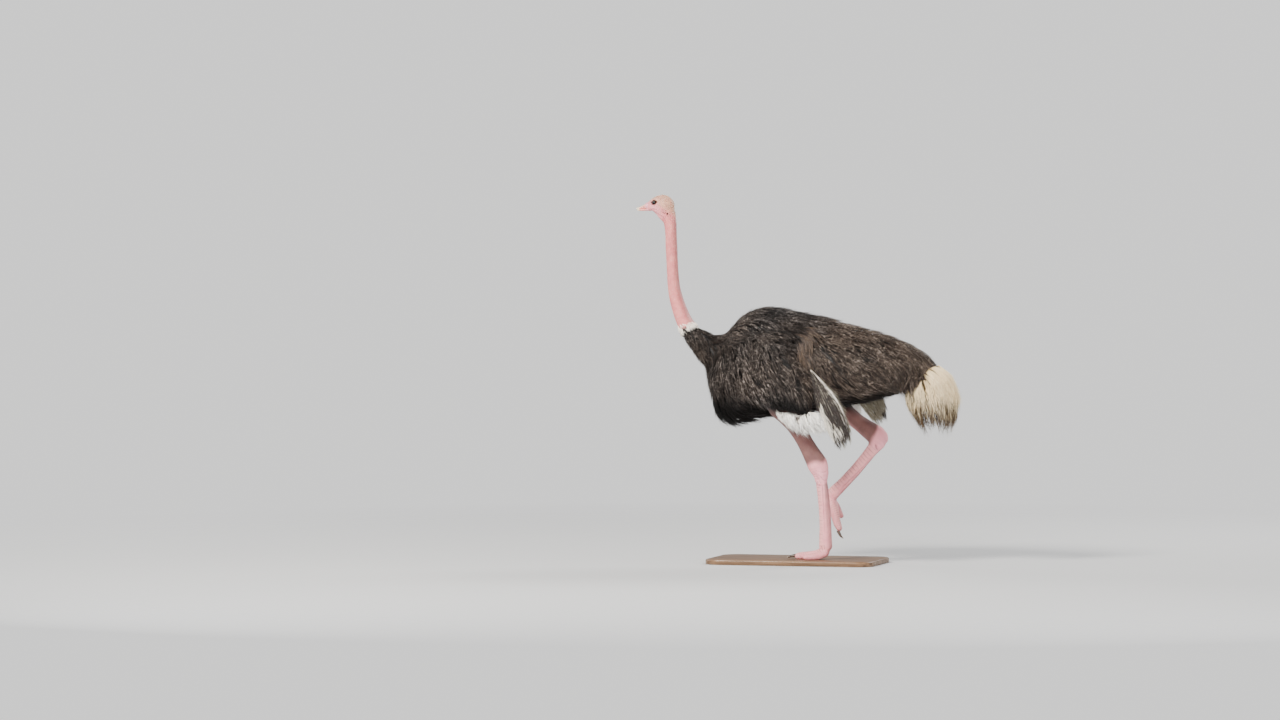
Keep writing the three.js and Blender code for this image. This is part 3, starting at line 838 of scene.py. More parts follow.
bill_horn = bill_finish()
for blade in ("upper", "lower"):
    bill = wrapped([node_copy(f"bill_{blade}", 0.0011)], BILL_CELL, 9)
    places, normals = places_of(bill), normals_of(bill)
    places[:, 0] += 0.012 * smooth(BILL_ROOT - 0.020, BILL_ROOT - 0.004, places[:, 0])
    x, y, z = places.T
    upper = blade == "upper"
    side_on = smooth(0.15, 0.6, np.abs(normals[:, 1]))
    ridge = smooth(0.35, 0.85, normals[:, 2]) * upper
    nail = smooth(NAIL_START + 0.004, NAIL_START - 0.006, x)
    above_slot = z - NOSTRIL[1] - NOSTRIL_TILT * (x - NOSTRIL[0])
    slot = np.hypot((x - NOSTRIL[0]) / NOSTRIL_SIZE[0], above_slot / NOSTRIL_SIZE[1])
    slot = (1 - smooth(0.6, 1.15, slot)) * upper * side_on
    trough = dome(above_slot, 0.004) * smooth(NAIL_START, -0.93, x)
    step = dome(x - NAIL_START, 0.0015)
    lip = dome(z - GAPE_LEVEL - 0.002, 0.0016) * upper
    inward = normals[:, 2] * (-1 if upper else 1)
    rise = 0.0007 * smooth(0.3, 0.95, inward) * dome(z - GAPE_LEVEL, 0.006)
    rise -= 0.0036 * smooth(BILL_ROOT - 0.008, BILL_ROOT + 0.004, x)
    rise += -0.0024 * slot - 0.0011 * trough * side_on * upper - 0.0006 * step + 0.0007 * lip
    move_to(bill, places + normals * rise[:, None])
    mask(bill, "pale", np.clip(nail + 0.75 * ridge, 0, 1))
    mask(bill, "slot", slot)
    mask(bill, "root", smooth(-0.918, -0.896, x + 0.3 * (z - 2.06)))
    show(f"bill_blade_{blade}", bill, bill_horn, "bill_horn", f"bill_{blade}")


# ---- Claws ----
# One heavy horn claw on each big toe, dark brown and worn pale at the tip. It grows from the
# end of the toe, where the hide closes round its root.

CLAW_TONES = "#2b211d", "#6d5c50"
WORN_TIP = "#a8927c"

claw_horn, tree, shader = new_finish("claw_horn", Roughness=0.34)
horn = mottled(tree, put(tree, "TexCoord").outputs["Object"], 90, 0.65, *CLAW_TONES)
worn = blended(tree, attribute(tree, "tip"), horn.outputs["Colour"], tint(WORN_TIP))
joined(tree, worn, shader, "Base Color")
bumped(tree, shader, horn.outputs["Height"], 0.0006)
for label in SIDES:
    claw = wrapped([node_copy(f"leg_{label}_claw", 0.0006)], 0.0016, 10)
    root, tip = long_axis(f"leg_{label}_claw")
    share, _ = from_line(places_of(claw), root, tip)
    mask(claw, "tip", 0.6 * smooth(0.75, 1.0, share))
    show(f"claw_{label}", claw, claw_horn, "claw_horn", f"leg_{label}_claw")


# ---- Body plumage ----
# The black plumes of the breast, hump, flanks and rump. Each plume is a soft shaft with loose wavy
# barbs, rooted in the hide. They lie down the breast and back over the body, one over the other.

BODY_PLUMES = 5800
BARBS = 9
LOCKS = 3
BARB_STOPS = 4
PLUME_LENGTH = 0.150
PLUME_STEPS = 6
BARB_WIDTH = 0.0015
BARB_THIN = 0.55
BODY_LAYER = 0.032
RUMP_EDGE = 0.66
RAGGED_LENGTH = 1.35
PATCH = 0.003
BODY_ZONES = ("breast_left", "breast_right", "belly", "hump", "rump", "flanks")
BODY_MIDDLE = (0, 0, 1.08)
BREAST_MIDDLE = (-0.2, 0, 0)
BARB_ROOT_SHADE = "#0f0c0b"
BLACK_BLADE, BROWN_BLADE = "#110f0e", "#3c2f27"
GREY_TIP, TAN_TIP = "#b3a9a4", "#c9b29c"


def scattered(mesh, count, rng, worth):
    """Random places on a mesh, more of them where worth is high, with the way out at each."""
    faces = triangles_of(mesh)
    corners, ways = places_of(mesh)[faces], normals_of(mesh)[faces]
    middles = corners.mean(1)
    one, other = corners[:, 1] - corners[:, 0], corners[:, 2] - corners[:, 0]
    area = np.linalg.norm(np.cross(one, other), axis=1)
    odds = area * worth(middles, unit(ways.mean(1)))
    picked = rng.choice(len(odds), count, p=odds / odds.sum())
    spread = rng.dirichlet((1, 1, 1), count)[:, :, None]
    return (corners[picked] * spread).sum(1), unit((ways[picked] * spread).sum(1))


def on_surface(tree, places):
    """The nearest place on a surface to each place, and the way out there."""
    found = [tree.find_nearest(Vector(place))[:2] for place in places]
    return np.array([f[0] for f in found]), np.array([f[1] for f in found])


def wander(places, size, seed):
    """A slow random swing from -1 to 1 that is alike at places near each other."""
    rng = np.random.default_rng(seed)
    total = np.zeros(len(places))
    for _ in range(5):
        way = unit(rng.normal(size=3)) * rng.uniform(0.6, 1.5) / size
        total += np.sin(places @ way * 2 * math.pi + rng.uniform(0, 6.3))
    return total / 2.6


def turned_about(ways, axis, angle):
    """Each way turned about its own axis."""
    c, s = np.cos(angle)[:, None], np.sin(angle)[:, None]
    return ways * c + np.cross(axis, ways) * s + axis * (ways * axis).sum(1, keepdims=True) * (1 - c)


def combed(roots, out, lie, tree, rng, length, depth, *, lift=0.0, droop=0.0, cling=1.0, stray=0.2):
    """The middle line of each plume from its root, along the lie of the coat, with the way out."""
    swing = 0.26 * wander(roots, 0.16, 7) + rng.normal(0, stray, len(roots))
    depth = np.broadcast_to(depth, len(roots))
    foot, line, outs = roots, [roots - out * depth[:, None]], [out]
    top = lift + rng.uniform(-0.006, 0.003, len(roots))
    for k in range(1, PLUME_STEPS + 1):
        share = k / PLUME_STEPS
        way = unit(lie(foot, out) + np.array([0, 0, -1]) * droop * share)
        way = way - out * (way * out).sum(1, keepdims=True) * cling
        way = turned_about(unit(way), out, swing)
        step = (length / PLUME_STEPS)[:, None]
        ahead = foot + way * step
        foot, out = on_surface(tree, ahead)
        height = -depth + (depth + top) * (1 - (1 - min(1, share / 0.55)) ** 2)
        free = line[-1] + way * step + out * ((depth + top) * 0.12)[:, None]
        hold = cling * smooth(-0.95, -0.3, out[:, 2])[:, None] if droop else cling
        line.append((foot + out * height[:, None]) * hold + free * (1 - hold))
        outs.append(out)
    return np.stack(line, 1), np.stack(outs, 1)


def barbs_of(
    line, outs, rng, count, stops, *, fan=0.019, narrow=0.003, puff=0.004, wave=0.0042, curl=0.010,
    close=0.0, reach=(0.55, 1.05), locks=LOCKS,
):
    """Wavy barbs that fan out from each plume's middle line: places, and the way out at each."""
    plumes = len(line)
    tall = rng.uniform(*reach, (plumes, count))
    stop = np.linspace(0, 1, stops)
    share = tall[..., None] * stop
    at = np.clip(share * PLUME_STEPS, 0, PLUME_STEPS - 1e-6)
    low = at.astype(int)
    part = (at - low)[..., None]
    row = np.arange(plumes)[:, None, None]
    place = line[row, low] * (1 - part) + line[row, low + 1] * part
    place += np.maximum(share - 1, 0)[..., None] * (line[:, -1] - line[:, -2])[:, None, None] * PLUME_STEPS
    out = outs[row, low]
    along = line[row, low + 1] - line[row, low]
    beside = unit(np.cross(out, along))
    lock = np.arange(count) % locks
    aside = rng.uniform(-1, 1, (plumes, locks))[:, lock] + rng.normal(0, 0.13, (plumes, count))
    phase = rng.uniform(0, 6.3, (plumes, locks))[:, lock] + rng.normal(0, 0.5, (plumes, count))
    phase = phase[..., None]
    swing = np.sin(phase + share * rng.uniform(7, 13, (plumes, locks))[:, lock, None]) * wave * share
    spread = narrow + fan * share**0.8 * (1 - close * share**2)
    place += beside * (aside[..., None] * spread + swing)[..., None]
    lifted = rng.uniform(-1, 1, (plumes, count, 1)) * puff * share
    lifted += np.cos(phase + 9 * share) * wave * 0.6 * share
    bend = rng.normal(0.35, 0.8, (plumes, count, 1)) * curl * share**3
    place += out * (lifted + bend)[..., None]
    flat = (plumes * count, stops, 3)
    return place.reshape(flat), out.reshape(flat), np.repeat(np.arange(plumes), count)


def tapered(lines, outs, width, thin=BARB_THIN):
    """Closed three-sided hairs along lines, widest below the middle and pointed at the tip."""
    count, stops, _ = lines.shape
    rings = stops - 1
    along = np.gradient(lines, axis=1)
    beside = unit(np.cross(along, outs))
    above = unit(np.cross(beside, along))
    share = np.arange(rings) / rings
    half = np.reshape(width, (-1, 1)) * (0.55 + 0.45 * np.sin(math.pi * np.minimum(1, share + 0.25)))
    turn = np.radians([90, 210, 330])
    ring = beside[:, :rings, None] * np.cos(turn)[:, None]
    ring = ring + above[:, :rings, None] * np.sin(turn)[:, None] * thin
    skin = lines[:, :rings, None] + ring * half[:, :, None, None]
    places = np.concatenate([skin.reshape(count, -1, 3), lines[:, -1:]], 1)
    faces = [(0, 1, 2)]
    for r in range(rings):
        for c in range(3):
            a, b = 3 * r + c, 3 * r + (c + 1) % 3
            if r < rings - 1:
                faces += [(a, b + 3, b), (a, a + 3, b + 3)]
            else:
                faces.append((a, 3 * rings, b))
    block = 3 * rings + 1
    faces = np.array(faces)[None] + np.arange(count)[:, None, None] * block
    along_share = np.append(np.repeat(share, 3), 1.0)
    return places.reshape(-1, 3), faces.reshape(-1, 3), np.tile(along_share, count), block


def unwrapped(roots, middle, axis):
    """Where roots lie on the hide, unrolled round an axis, as places on a unit square."""
    axis = unit(np.array(axis, float))
    first = unit(np.cross(axis, [0.3, 0.9, 0.1]))
    second = np.cross(axis, first)
    away = roots - middle
    turn = np.unwrap(np.sort(np.arctan2(away @ second, away @ first)))
    start = turn[np.argmax(np.diff(turn)) + 1] if len(turn) > 1 else 0
    angle = np.mod(np.arctan2(away @ second, away @ first) - start, 2 * math.pi)
    flat = np.column_stack([away @ axis, angle])
    low, high = flat.min(0), flat.max(0)
    return 0.01 + 0.98 * (flat - low) / np.maximum(high - low, 1e-6)


def coat(
    name, lines, outs, owner, spots, finish, slot, *nodes, rng, width=BARB_WIDTH, thin=BARB_THIN,
    locks=LOCKS, **tones,
):
    """One piece of the coat: hairs along lines, with the map of their roots and their tones."""
    widths = width * rng.uniform(0.7, 1.25, len(lines))
    places, faces, along, block = tapered(lines, outs, widths, thin)
    mesh = mesh_from(name, places, faces)
    mask(mesh, "along", along)
    order = np.arange(len(lines)) - np.searchsorted(owner, owner)
    lock_tone = rng.uniform(0, 1, (owner.max() + 1, locks))[owner, order % locks]
    mask(mesh, "strand", np.repeat(0.7 * lock_tone + 0.3 * rng.uniform(0, 1, len(lines)), block))
    for label, values in tones.items():
        mask(mesh, label, np.repeat(values[owner], block))
    corner = np.append(np.tile([0.0, 0.5, 1.0], (block - 1) // 3), 0.5)
    bend = np.append(np.tile([0.0, 0.1, 0.0], (block - 1) // 3), 0.0)
    patch = np.column_stack([0.85 * along[:block] + bend, corner]) * PATCH
    roots = np.repeat(spots[owner], block, axis=0) - PATCH / 2
    where = roots + np.tile(patch, (len(lines), 1))
    layer = mesh.uv_layers.new(name="OFBake")
    layer.data.foreach_set("uv", where[faces.ravel()].astype(np.float32).ravel())
    return show(name, mesh, finish, slot, *nodes)


def body_lie(places, out):
    """The lie of the coat: down the neck and breast, back over the hump, back and down the flanks."""
    x, y, z = places.T
    way = np.tile([0.72, 0.0, -0.80], (len(places), 1))
    on_top = smooth(0.2, 0.5, out[:, 2]) * smooth(1.20, 1.28, z)
    shoulder = dome(x + 0.22, 0.14) * smooth(1.22, 1.28, z) * smooth(0.75, 0.45, out[:, 2])
    for share, aim in (
        (smooth(0.2, 0.75, out[:, 2]), (1.0, 0.0, -0.12)),
        (smooth(0.15, 0.55, x), (0.93, 0.0, -0.50)),
        (smooth(-0.35, -0.85, out[:, 2]), (1.0, 0.0, -0.1)),
        (smooth(-0.24, -0.44, x) * (1 - on_top), (0.30, 0.0, -1.0)),
        (smooth(-0.40, -0.56, x) * smooth(1.10, 1.22, z), (0.66, 0.0, -0.75)),
        (dome(x - 0.09, 0.07) * dome(z - 1.27, 0.10), (0.30, 0.0, -0.95)),
        (shoulder, (0.72, 0.0, -0.62)),
        (smooth(0.50, 0.66, x) * smooth(0.1, -0.4, out[:, 2]), (0.62, 0.0, -0.75)),
    ):
        way = way + share[:, None] * (np.array(aim) - way)
    way[:, 1] += 0.30 * np.tanh(y / 0.05) * smooth(0.5, 0.9, out[:, 2])
    return unit(way)


def zone_of(places, out):
    """The number of the body zone that each root belongs to."""
    x, y, z = places.T
    zone = np.full(len(places), 5)
    zone = np.where((out[:, 2] > 0.35) & (z > 1.2), 3, zone)
    zone = np.where(x > 0.33, 4, zone)
    zone = np.where(out[:, 2] < -0.55, 2, zone)
    return np.where(x < -0.30, np.where(y < 0, 0, 1), zone)


def browned(places):
    """How brown and how pale-tipped the black plumes are at each place, both falling away low on the body
    as painted shade.
    """
    x, _, z = places.T
    brown = 0.28 + 0.10 * wander(places, 0.22, 3) + 0.34 * smooth(-0.02, 0.26, x)
    brown += 0.14 * dome(x - 0.16, 0.20) * dome(z - 1.18, 0.14)
    # Painted shade: low on the body the plumes turn blacker, for the shade under the belly.
    brown -= 0.22 * smooth(1.30, 1.45, z) * dome(x + 0.18, 0.30) + 0.60 * smooth(1.08, 0.88, z)
    pale = 0.62 + 0.25 * wander(places, 0.15, 5)
    pale += 0.35 * dome(x + 0.2, 0.16) * dome(z - 1.12, 0.16)
    # Painted shade: low on the body the pale tips fade out too.
    pale -= 0.80 * smooth(1.10, 0.92, z) + 0.20 * smooth(1.38, 1.46, z) + 0.35 * smooth(-0.28, -0.45, x)
    pale -= 0.5 * dome(np.hypot(x + 0.02, 0.5 * (z - 1.345 - 0.2 * x)), 0.06)
    return np.clip(brown, 0, 1), np.clip(pale, 0, 1)


def plume_group():
    """Barb colour: darkened at the root as painted shade, browner and paler to the tip, each barb a little
    its own.
    """
    kinds = {"Root": "Color", "Blade": "Color", "Tip": "Color", "Along": "Float", "Strand": "Float"}
    kinds.update({"Pale": "Float", "Spread": "Float"})
    group, taken, given = new_group("barb_tint", kinds, {"Colour": "Color"})
    socket = taken.outputs
    # Painted shade: each barb darkens toward its root, deep in the coat.
    blade = blended(group, ranged(group, socket["Along"], 0.0, 0.45), socket["Root"], socket["Blade"])
    near_tip = ranged(group, socket["Along"], 0.45, 1.0)
    own = sums(group, "MULTIPLY", sums(group, "POWER", socket["Strand"], 2.0), near_tip)
    tipped = blended(group, sums(group, "MULTIPLY", own, socket["Pale"]), blade, socket["Tip"])
    off_middle = sums(group, "SUBTRACT", socket["Strand"], 0.5)
    shade = sums(group, "MULTIPLY_ADD", off_middle, socket["Spread"], 1.0)
    grey = put(group, "CombineColor", {0: shade, 1: shade, 2: shade}).outputs[0]
    group.links.new(blended(group, 1.0, tipped, grey, "MULTIPLY"), given.inputs["Colour"])
    return group


barb_tint = plume_group()


def toned_barbs(tree, shader, root, blade, tip, spread):
    """The barb colour put into a material, with the numbers kept on each barb."""
    sockets = {label: attribute(tree, label.lower()) for label in ("Along", "Strand", "Pale")}
    sockets.update({"Root": root, "Blade": blade, "Tip": tip, "Spread": spread})
    joined(tree, placed(tree, barb_tint, sockets).outputs[0], shader, "Base Color")


def black_plume_finish():
    """Black barbs that turn brown where the plumage does, with painted glints flecked on where a barb
    would catch light.
    """
    finish, tree, shader = new_finish(
        "black_plumes", Roughness=0.55, Sheen_Weight=0.04, Sheen_Roughness=0.4, Specular_IOR_Level=0.22
    )
    brown = attribute(tree, "brown")
    blade = blended(tree, brown, tint(BLACK_BLADE), tint(BROWN_BLADE))
    tip = blended(tree, brown, tint(GREY_TIP), tint(TAN_TIP))
    coords = put(tree, "TexCoord").outputs["Object"]
    # Painted highlight: a noise of glints lightens the blades toward the tip colour.
    painted_glint = put(tree, "TexNoise", {0: coords, "Scale": 62, "Detail": 2, "Roughness": 0.6}).outputs[0]
    glint_fleck = sums(tree, "MULTIPLY", ranged(tree, painted_glint, 0.555, 0.64), attribute(tree, "pale"))
    blade = blended(tree, sums(tree, "MULTIPLY", glint_fleck, 0.54), blade, tip)
    toned_barbs(tree, shader, tint(BARB_ROOT_SHADE), blade, tip, 1.3)
    return finish


black_plumes = black_plume_finish()
rng = np.random.default_rng(11)


def body_worth(places, out):
    """More plumes where the surface bends or they are short, and none above the ring."""
    x, y, z = places.T
    neck = smooth(-0.50, -0.62, x)
    tail_end = smooth(0.50, 0.62, x)
    valley = dome(x + 0.43, 0.06) * smooth(1.24, 1.30, z)
    seam = dome(x + 0.22, 0.10) * dome(z - 1.29, 0.035) * (np.abs(y) > 0.1)
    crest = dome(x + 0.12, 0.16) * smooth(1.38, 1.44, z)
    more = 1 + 1.6 * neck + 1.1 * tail_end + 2.5 * valley + 1.8 * seam + 1.0 * crest
    under = smooth(-0.5, -0.85, out[:, 2])
    below_ring = (z < 1.385) | (x > -0.60)
    return more * (1 - 0.5 * under) * below_ring


def nearest_part(places, names):
    """The index of the frame node that each place is nearest to."""
    trees = [tree_of(node_copy(name)) for name in names]
    gaps = [[tree.find_nearest(Vector(place))[3] for tree in trees] for place in places]
    return np.argmin(gaps, axis=1)


roots, out = scattered(form, BODY_PLUMES, rng, body_worth)
part = nearest_part(roots, ["trunk", "neck_base", *coverts])
on_body = part < 2
body_roots, body_out = roots[on_body], out[on_body]
short = smooth(-0.50, -0.64, body_roots[:, 0])
long = smooth(0.50, 0.66, body_roots[:, 0])
length = PLUME_LENGTH * (1 - 0.55 * short + 0.30 * long) * rng.uniform(0.75, 1.2, len(body_roots))
against = smooth(0.0, -0.6, (body_lie(body_roots, body_out) * body_out).sum(1))
depth = BODY_LAYER * (1 - 0.72 * short) * (1 - 0.75 * against)
line, outs = combed(
    body_roots, body_out, body_lie, form_tree, rng, length, depth, droop=0.25, cling=0.96
)
ragged = body_roots[:, 0] > RUMP_EDGE
line[ragged], outs[ragged] = combed(
    body_roots[ragged], body_out[ragged], body_lie, form_tree, rng, length[ragged] * RAGGED_LENGTH,
    depth[ragged], droop=0.75, cling=0.55, stray=0.35,
)
zones = zone_of(body_roots, body_out)
for index, zone in enumerate(BODY_ZONES):
    chosen = zones == index
    hairs, ways, owner = barbs_of(line[chosen], outs[chosen], rng, BARBS, BARB_STOPS)
    brown, pale = browned(body_roots[chosen])
    axis, middle = ((0, 0, 1), BREAST_MIDDLE) if "breast" in zone else ((1, 0, 0), BODY_MIDDLE)
    spots = unwrapped(body_roots[chosen], np.array(middle), axis)
    coat(
        f"plumes_{zone}", hairs, ways, owner, spots, black_plumes, "black_plumage",
        rng=rng, brown=brown, pale=pale,
    )


# ---- Scapular fan ----
# A spray of long tan-edged plumes on each shoulder. They fan out from above the wing, curve down
# over its rear edge in an S, and lie on top of the shorter black plumage.

SCAPULARS = 80
SCAPULAR_LENGTH = (0.13, 0.22)
SCAPULAR_LAYER = 0.020
SCAPULAR_STOPS = 5
WING_MIDDLE = (0.15, 1.1)
SCAPULAR_TONES = "#1a1512", "#45362c", "#a38a70"


def fan_lie(places, out):
    """Back at first, then curving straight down over the rear of the wing."""
    fall = smooth(1.38, 1.25, places[:, 2])
    return np.column_stack([0.75 - 0.62 * fall, 0 * fall, -0.45 - 0.55 * fall])


def fan_worth(places, side):
    """The slanting patch above the wing of one side, where the fan is rooted."""
    x, y, z = places.T
    on_fan = dome(x - 0.035 - 0.5 * (1.37 - z), 0.026) * dome(z - 1.315, 0.042)
    return on_fan * (np.sign(y) == side)


def plume_finish(name, tones, spread=0.3):
    """Loose plumes in three tones, of the root (darkened as painted shade), the blade and the tip."""
    finish, tree, shader = new_finish(name, Roughness=0.7, Sheen_Weight=0.12, Sheen_Roughness=0.4)
    toned_barbs(tree, shader, *[tint(tone) for tone in tones], spread)
    return finish


scapular_tan = plume_finish("scapular_tan", SCAPULAR_TONES, 1.2)
for index, (label, side) in enumerate(SIDES.items()):
    rng = np.random.default_rng(30 + index)
    fan_roots, fan_out = scattered(form, SCAPULARS, rng, lambda places, out: fan_worth(places, side))
    length = rng.uniform(*SCAPULAR_LENGTH, SCAPULARS)
    line, outs = combed(
        fan_roots, fan_out, fan_lie, form_tree, rng, length, SCAPULAR_LAYER, lift=0.005, stray=0.10
    )
    hairs, ways, owner = barbs_of(
        line, outs, rng, BARBS, SCAPULAR_STOPS, fan=0.010, wave=0.003, curl=0.004, close=0.5
    )
    spots = unwrapped(fan_roots, np.array([0, side * WING_MIDDLE[0], WING_MIDDLE[1]]), (1, 0, 0))
    pale = rng.uniform(0.4, 1.0, SCAPULARS)
    coat(
        f"scapulars_{label}", hairs, ways, owner, spots, scapular_tan, "black_plumage",
        rng=rng, pale=pale,
    )


# ---- Wings ----
# Each folded wing is a mass of black covert plumes. White secondary plumes hang out under it like
# a flounce, and behind it droop the flight plumes: loose and dark, with a cream edge, on quills.

WING_PLUME_LENGTH = 0.135
COVERT_LAYER = 0.031
SECONDARY_PLUMES = 190
SECONDARY_BARBS = 15
SECONDARY_LENGTH = (0.055, 0.125)
SECONDARY_LAYER = 0.010
FLIGHT_PLUMES, LINING_PLUMES = 9, 6
FLIGHT_OUT, LINING_OUT = 0.008, -0.014
FLIGHT_BARBS = 150
FLIGHT_BARB_REACH = 0.082
FLIGHT_BARB_WIDTH = 0.0010
QUILL_STOPS = 14
QUILL_RADIUS = 0.0012
WHITE_TONES = "#e9e1d4", "#fffcf6", "#f6eddd"
DARK_VANE_TONES = "#1a1411", "#2c211b", "#8a735f"
CREAM_VANE_TONES = "#d9ceb9", "#f6efe2", "#8a735d"
# Painted shade: the inner row's white plumes are toned grey, as seen in shade under the wing.
SHADED_GREY_VANE_TONES = "#6f6959", "#9a937f", "#bdb6a1"
QUILL_TONES = "#cdbfa8", "#ece2cf"


def wing_lie(places, out):
    """Down from the shoulder at the front of the wing, and more to the rear behind it."""
    back = smooth(-0.36, 0.12, places[:, 0])
    top = smooth(1.17, 1.29, places[:, 2])
    return np.column_stack([0.22 + 0.5 * back + 0.3 * top, 0 * back, -0.95 + 0.25 * back + 0.2 * top])


def hanging(places, out):
    """Straight down, and more to the rear at the rear end."""
    rear = smooth(0.07, 0.17, places[:, 0])
    return np.column_stack([0.16 + 0.75 * rear, 0 * rear, -1.0 + 0.25 * rear])


def spine(name, stops):
    """The middle line of a frame node from its upper end down, its half-width, and the wide way."""
    mesh = wrapped([node_copy(name)], 0.008, 2)
    places = places_of(mesh)
    start, end = long_axis(name)
    share, off = from_line(places, start, end)
    wide = unit(np.cross(end - start, [0, 1, 0]))
    middles, halves = [], []
    for at in np.linspace(0.04, 0.96, stops):
        near = off[np.abs(share - at) < 0.07]
        middles.append(start + (end - start) * at + near.mean(0))
        halves.append(np.ptp(near @ wide) / 2)
    return np.array(middles), np.array(halves), wide


def eased(line, halves, shares):
    """Places and half-widths at shares of a line."""
    at = np.linspace(0, 1, len(line))
    places = np.stack([np.interp(shares, at, line[:, axis]) for axis in range(3)], -1)
    return places, np.interp(shares, at, halves)


def loose_barbs(path, wide, out, rng, count, size):
    """Long soft barbs on both sides of a shaft: lines, the share of the shaft each starts at."""
    share = np.repeat(np.linspace(0.02, 0.985, count), 2) + rng.normal(0, 0.006, 2 * count)
    share = np.clip(share, 0.01, 0.99)
    hand = np.tile([-1.0, 1.0], count)
    at = np.linspace(0, 1, len(path))
    root = np.stack([np.interp(share, at, path[:, axis]) for axis in range(3)], 1)
    along = unit(np.stack([np.interp(share, at, line) for line in np.gradient(path, axis=0).T], 1))
    lean = np.radians(rng.uniform(6, 24, 2 * count)) * (1.15 - 0.5 * share)
    way = along * np.cos(lean)[:, None] + wide * (hand * np.sin(lean))[:, None]
    reach = size * rng.uniform(0.55, 1.25, 2 * count)
    reach *= 0.25 + 0.75 * np.sin(math.pi * (0.8 * share + 0.05))
    stop = np.linspace(0, 1, BARB_STOPS)[:, None]
    lines = root[:, None] + way[:, None] * reach[:, None, None] * stop
    phase = rng.uniform(0, 2 * math.pi, (2 * count, 1, 1))
    lines += wide * (np.sin(phase + 6 * stop) - np.sin(phase)) * 0.0028 * stop
    droop = rng.uniform(0, 0.014, (2 * count, 1, 1)) * stop**2
    lines += (along[:, None] - wide * hand[:, None, None]) * droop
    lines += out * rng.normal(0, 0.007, (2 * count, 1, 1)).clip(-0.012, 0.009) * stop**2
    return lines, share


def cream_barbs(share, rearward, offset, rng):
    """Which barbs of a flight plume edge the wing at the rear, and which of all are cream."""
    low = share > 0.50 + 0.05 * rng.normal(size=len(share))
    odds = rng.random(len(share))
    edging = rearward & (odds < 0.7 * smooth(0.6, 0.95, offset))
    cream = edging | (low & (odds < smooth(-0.45, -0.85, offset) - 0.3 * rearward))
    cream |= (share > 0.82) & (odds < 0.7 * smooth(0.4, -0.2, offset))
    return edging, cream & (share < 0.89)


def shaft_finish(name, scale, tones):
    """Fine smooth horn, a little uneven in tone, for quills and lashes."""
    finish, tree, shader = new_finish(name, Roughness=0.4)
    coords = put(tree, "TexCoord").outputs["Object"]
    horn = mottled(tree, coords, scale, 0.5, *tones).outputs["Colour"]
    joined(tree, horn, shader, "Base Color")
    return finish


white_plumes = plume_finish("white_plumes", WHITE_TONES)
vane_finishes = {
    "dark": plume_finish("dark_vanes", DARK_VANE_TONES, 0.9),
    "cream": plume_finish("cream_vanes", CREAM_VANE_TONES),
    "grey": plume_finish("shaded_grey_vanes", SHADED_GREY_VANE_TONES, 0.5),
}
quill_horn = shaft_finish("quill_horn", 60, QUILL_TONES)

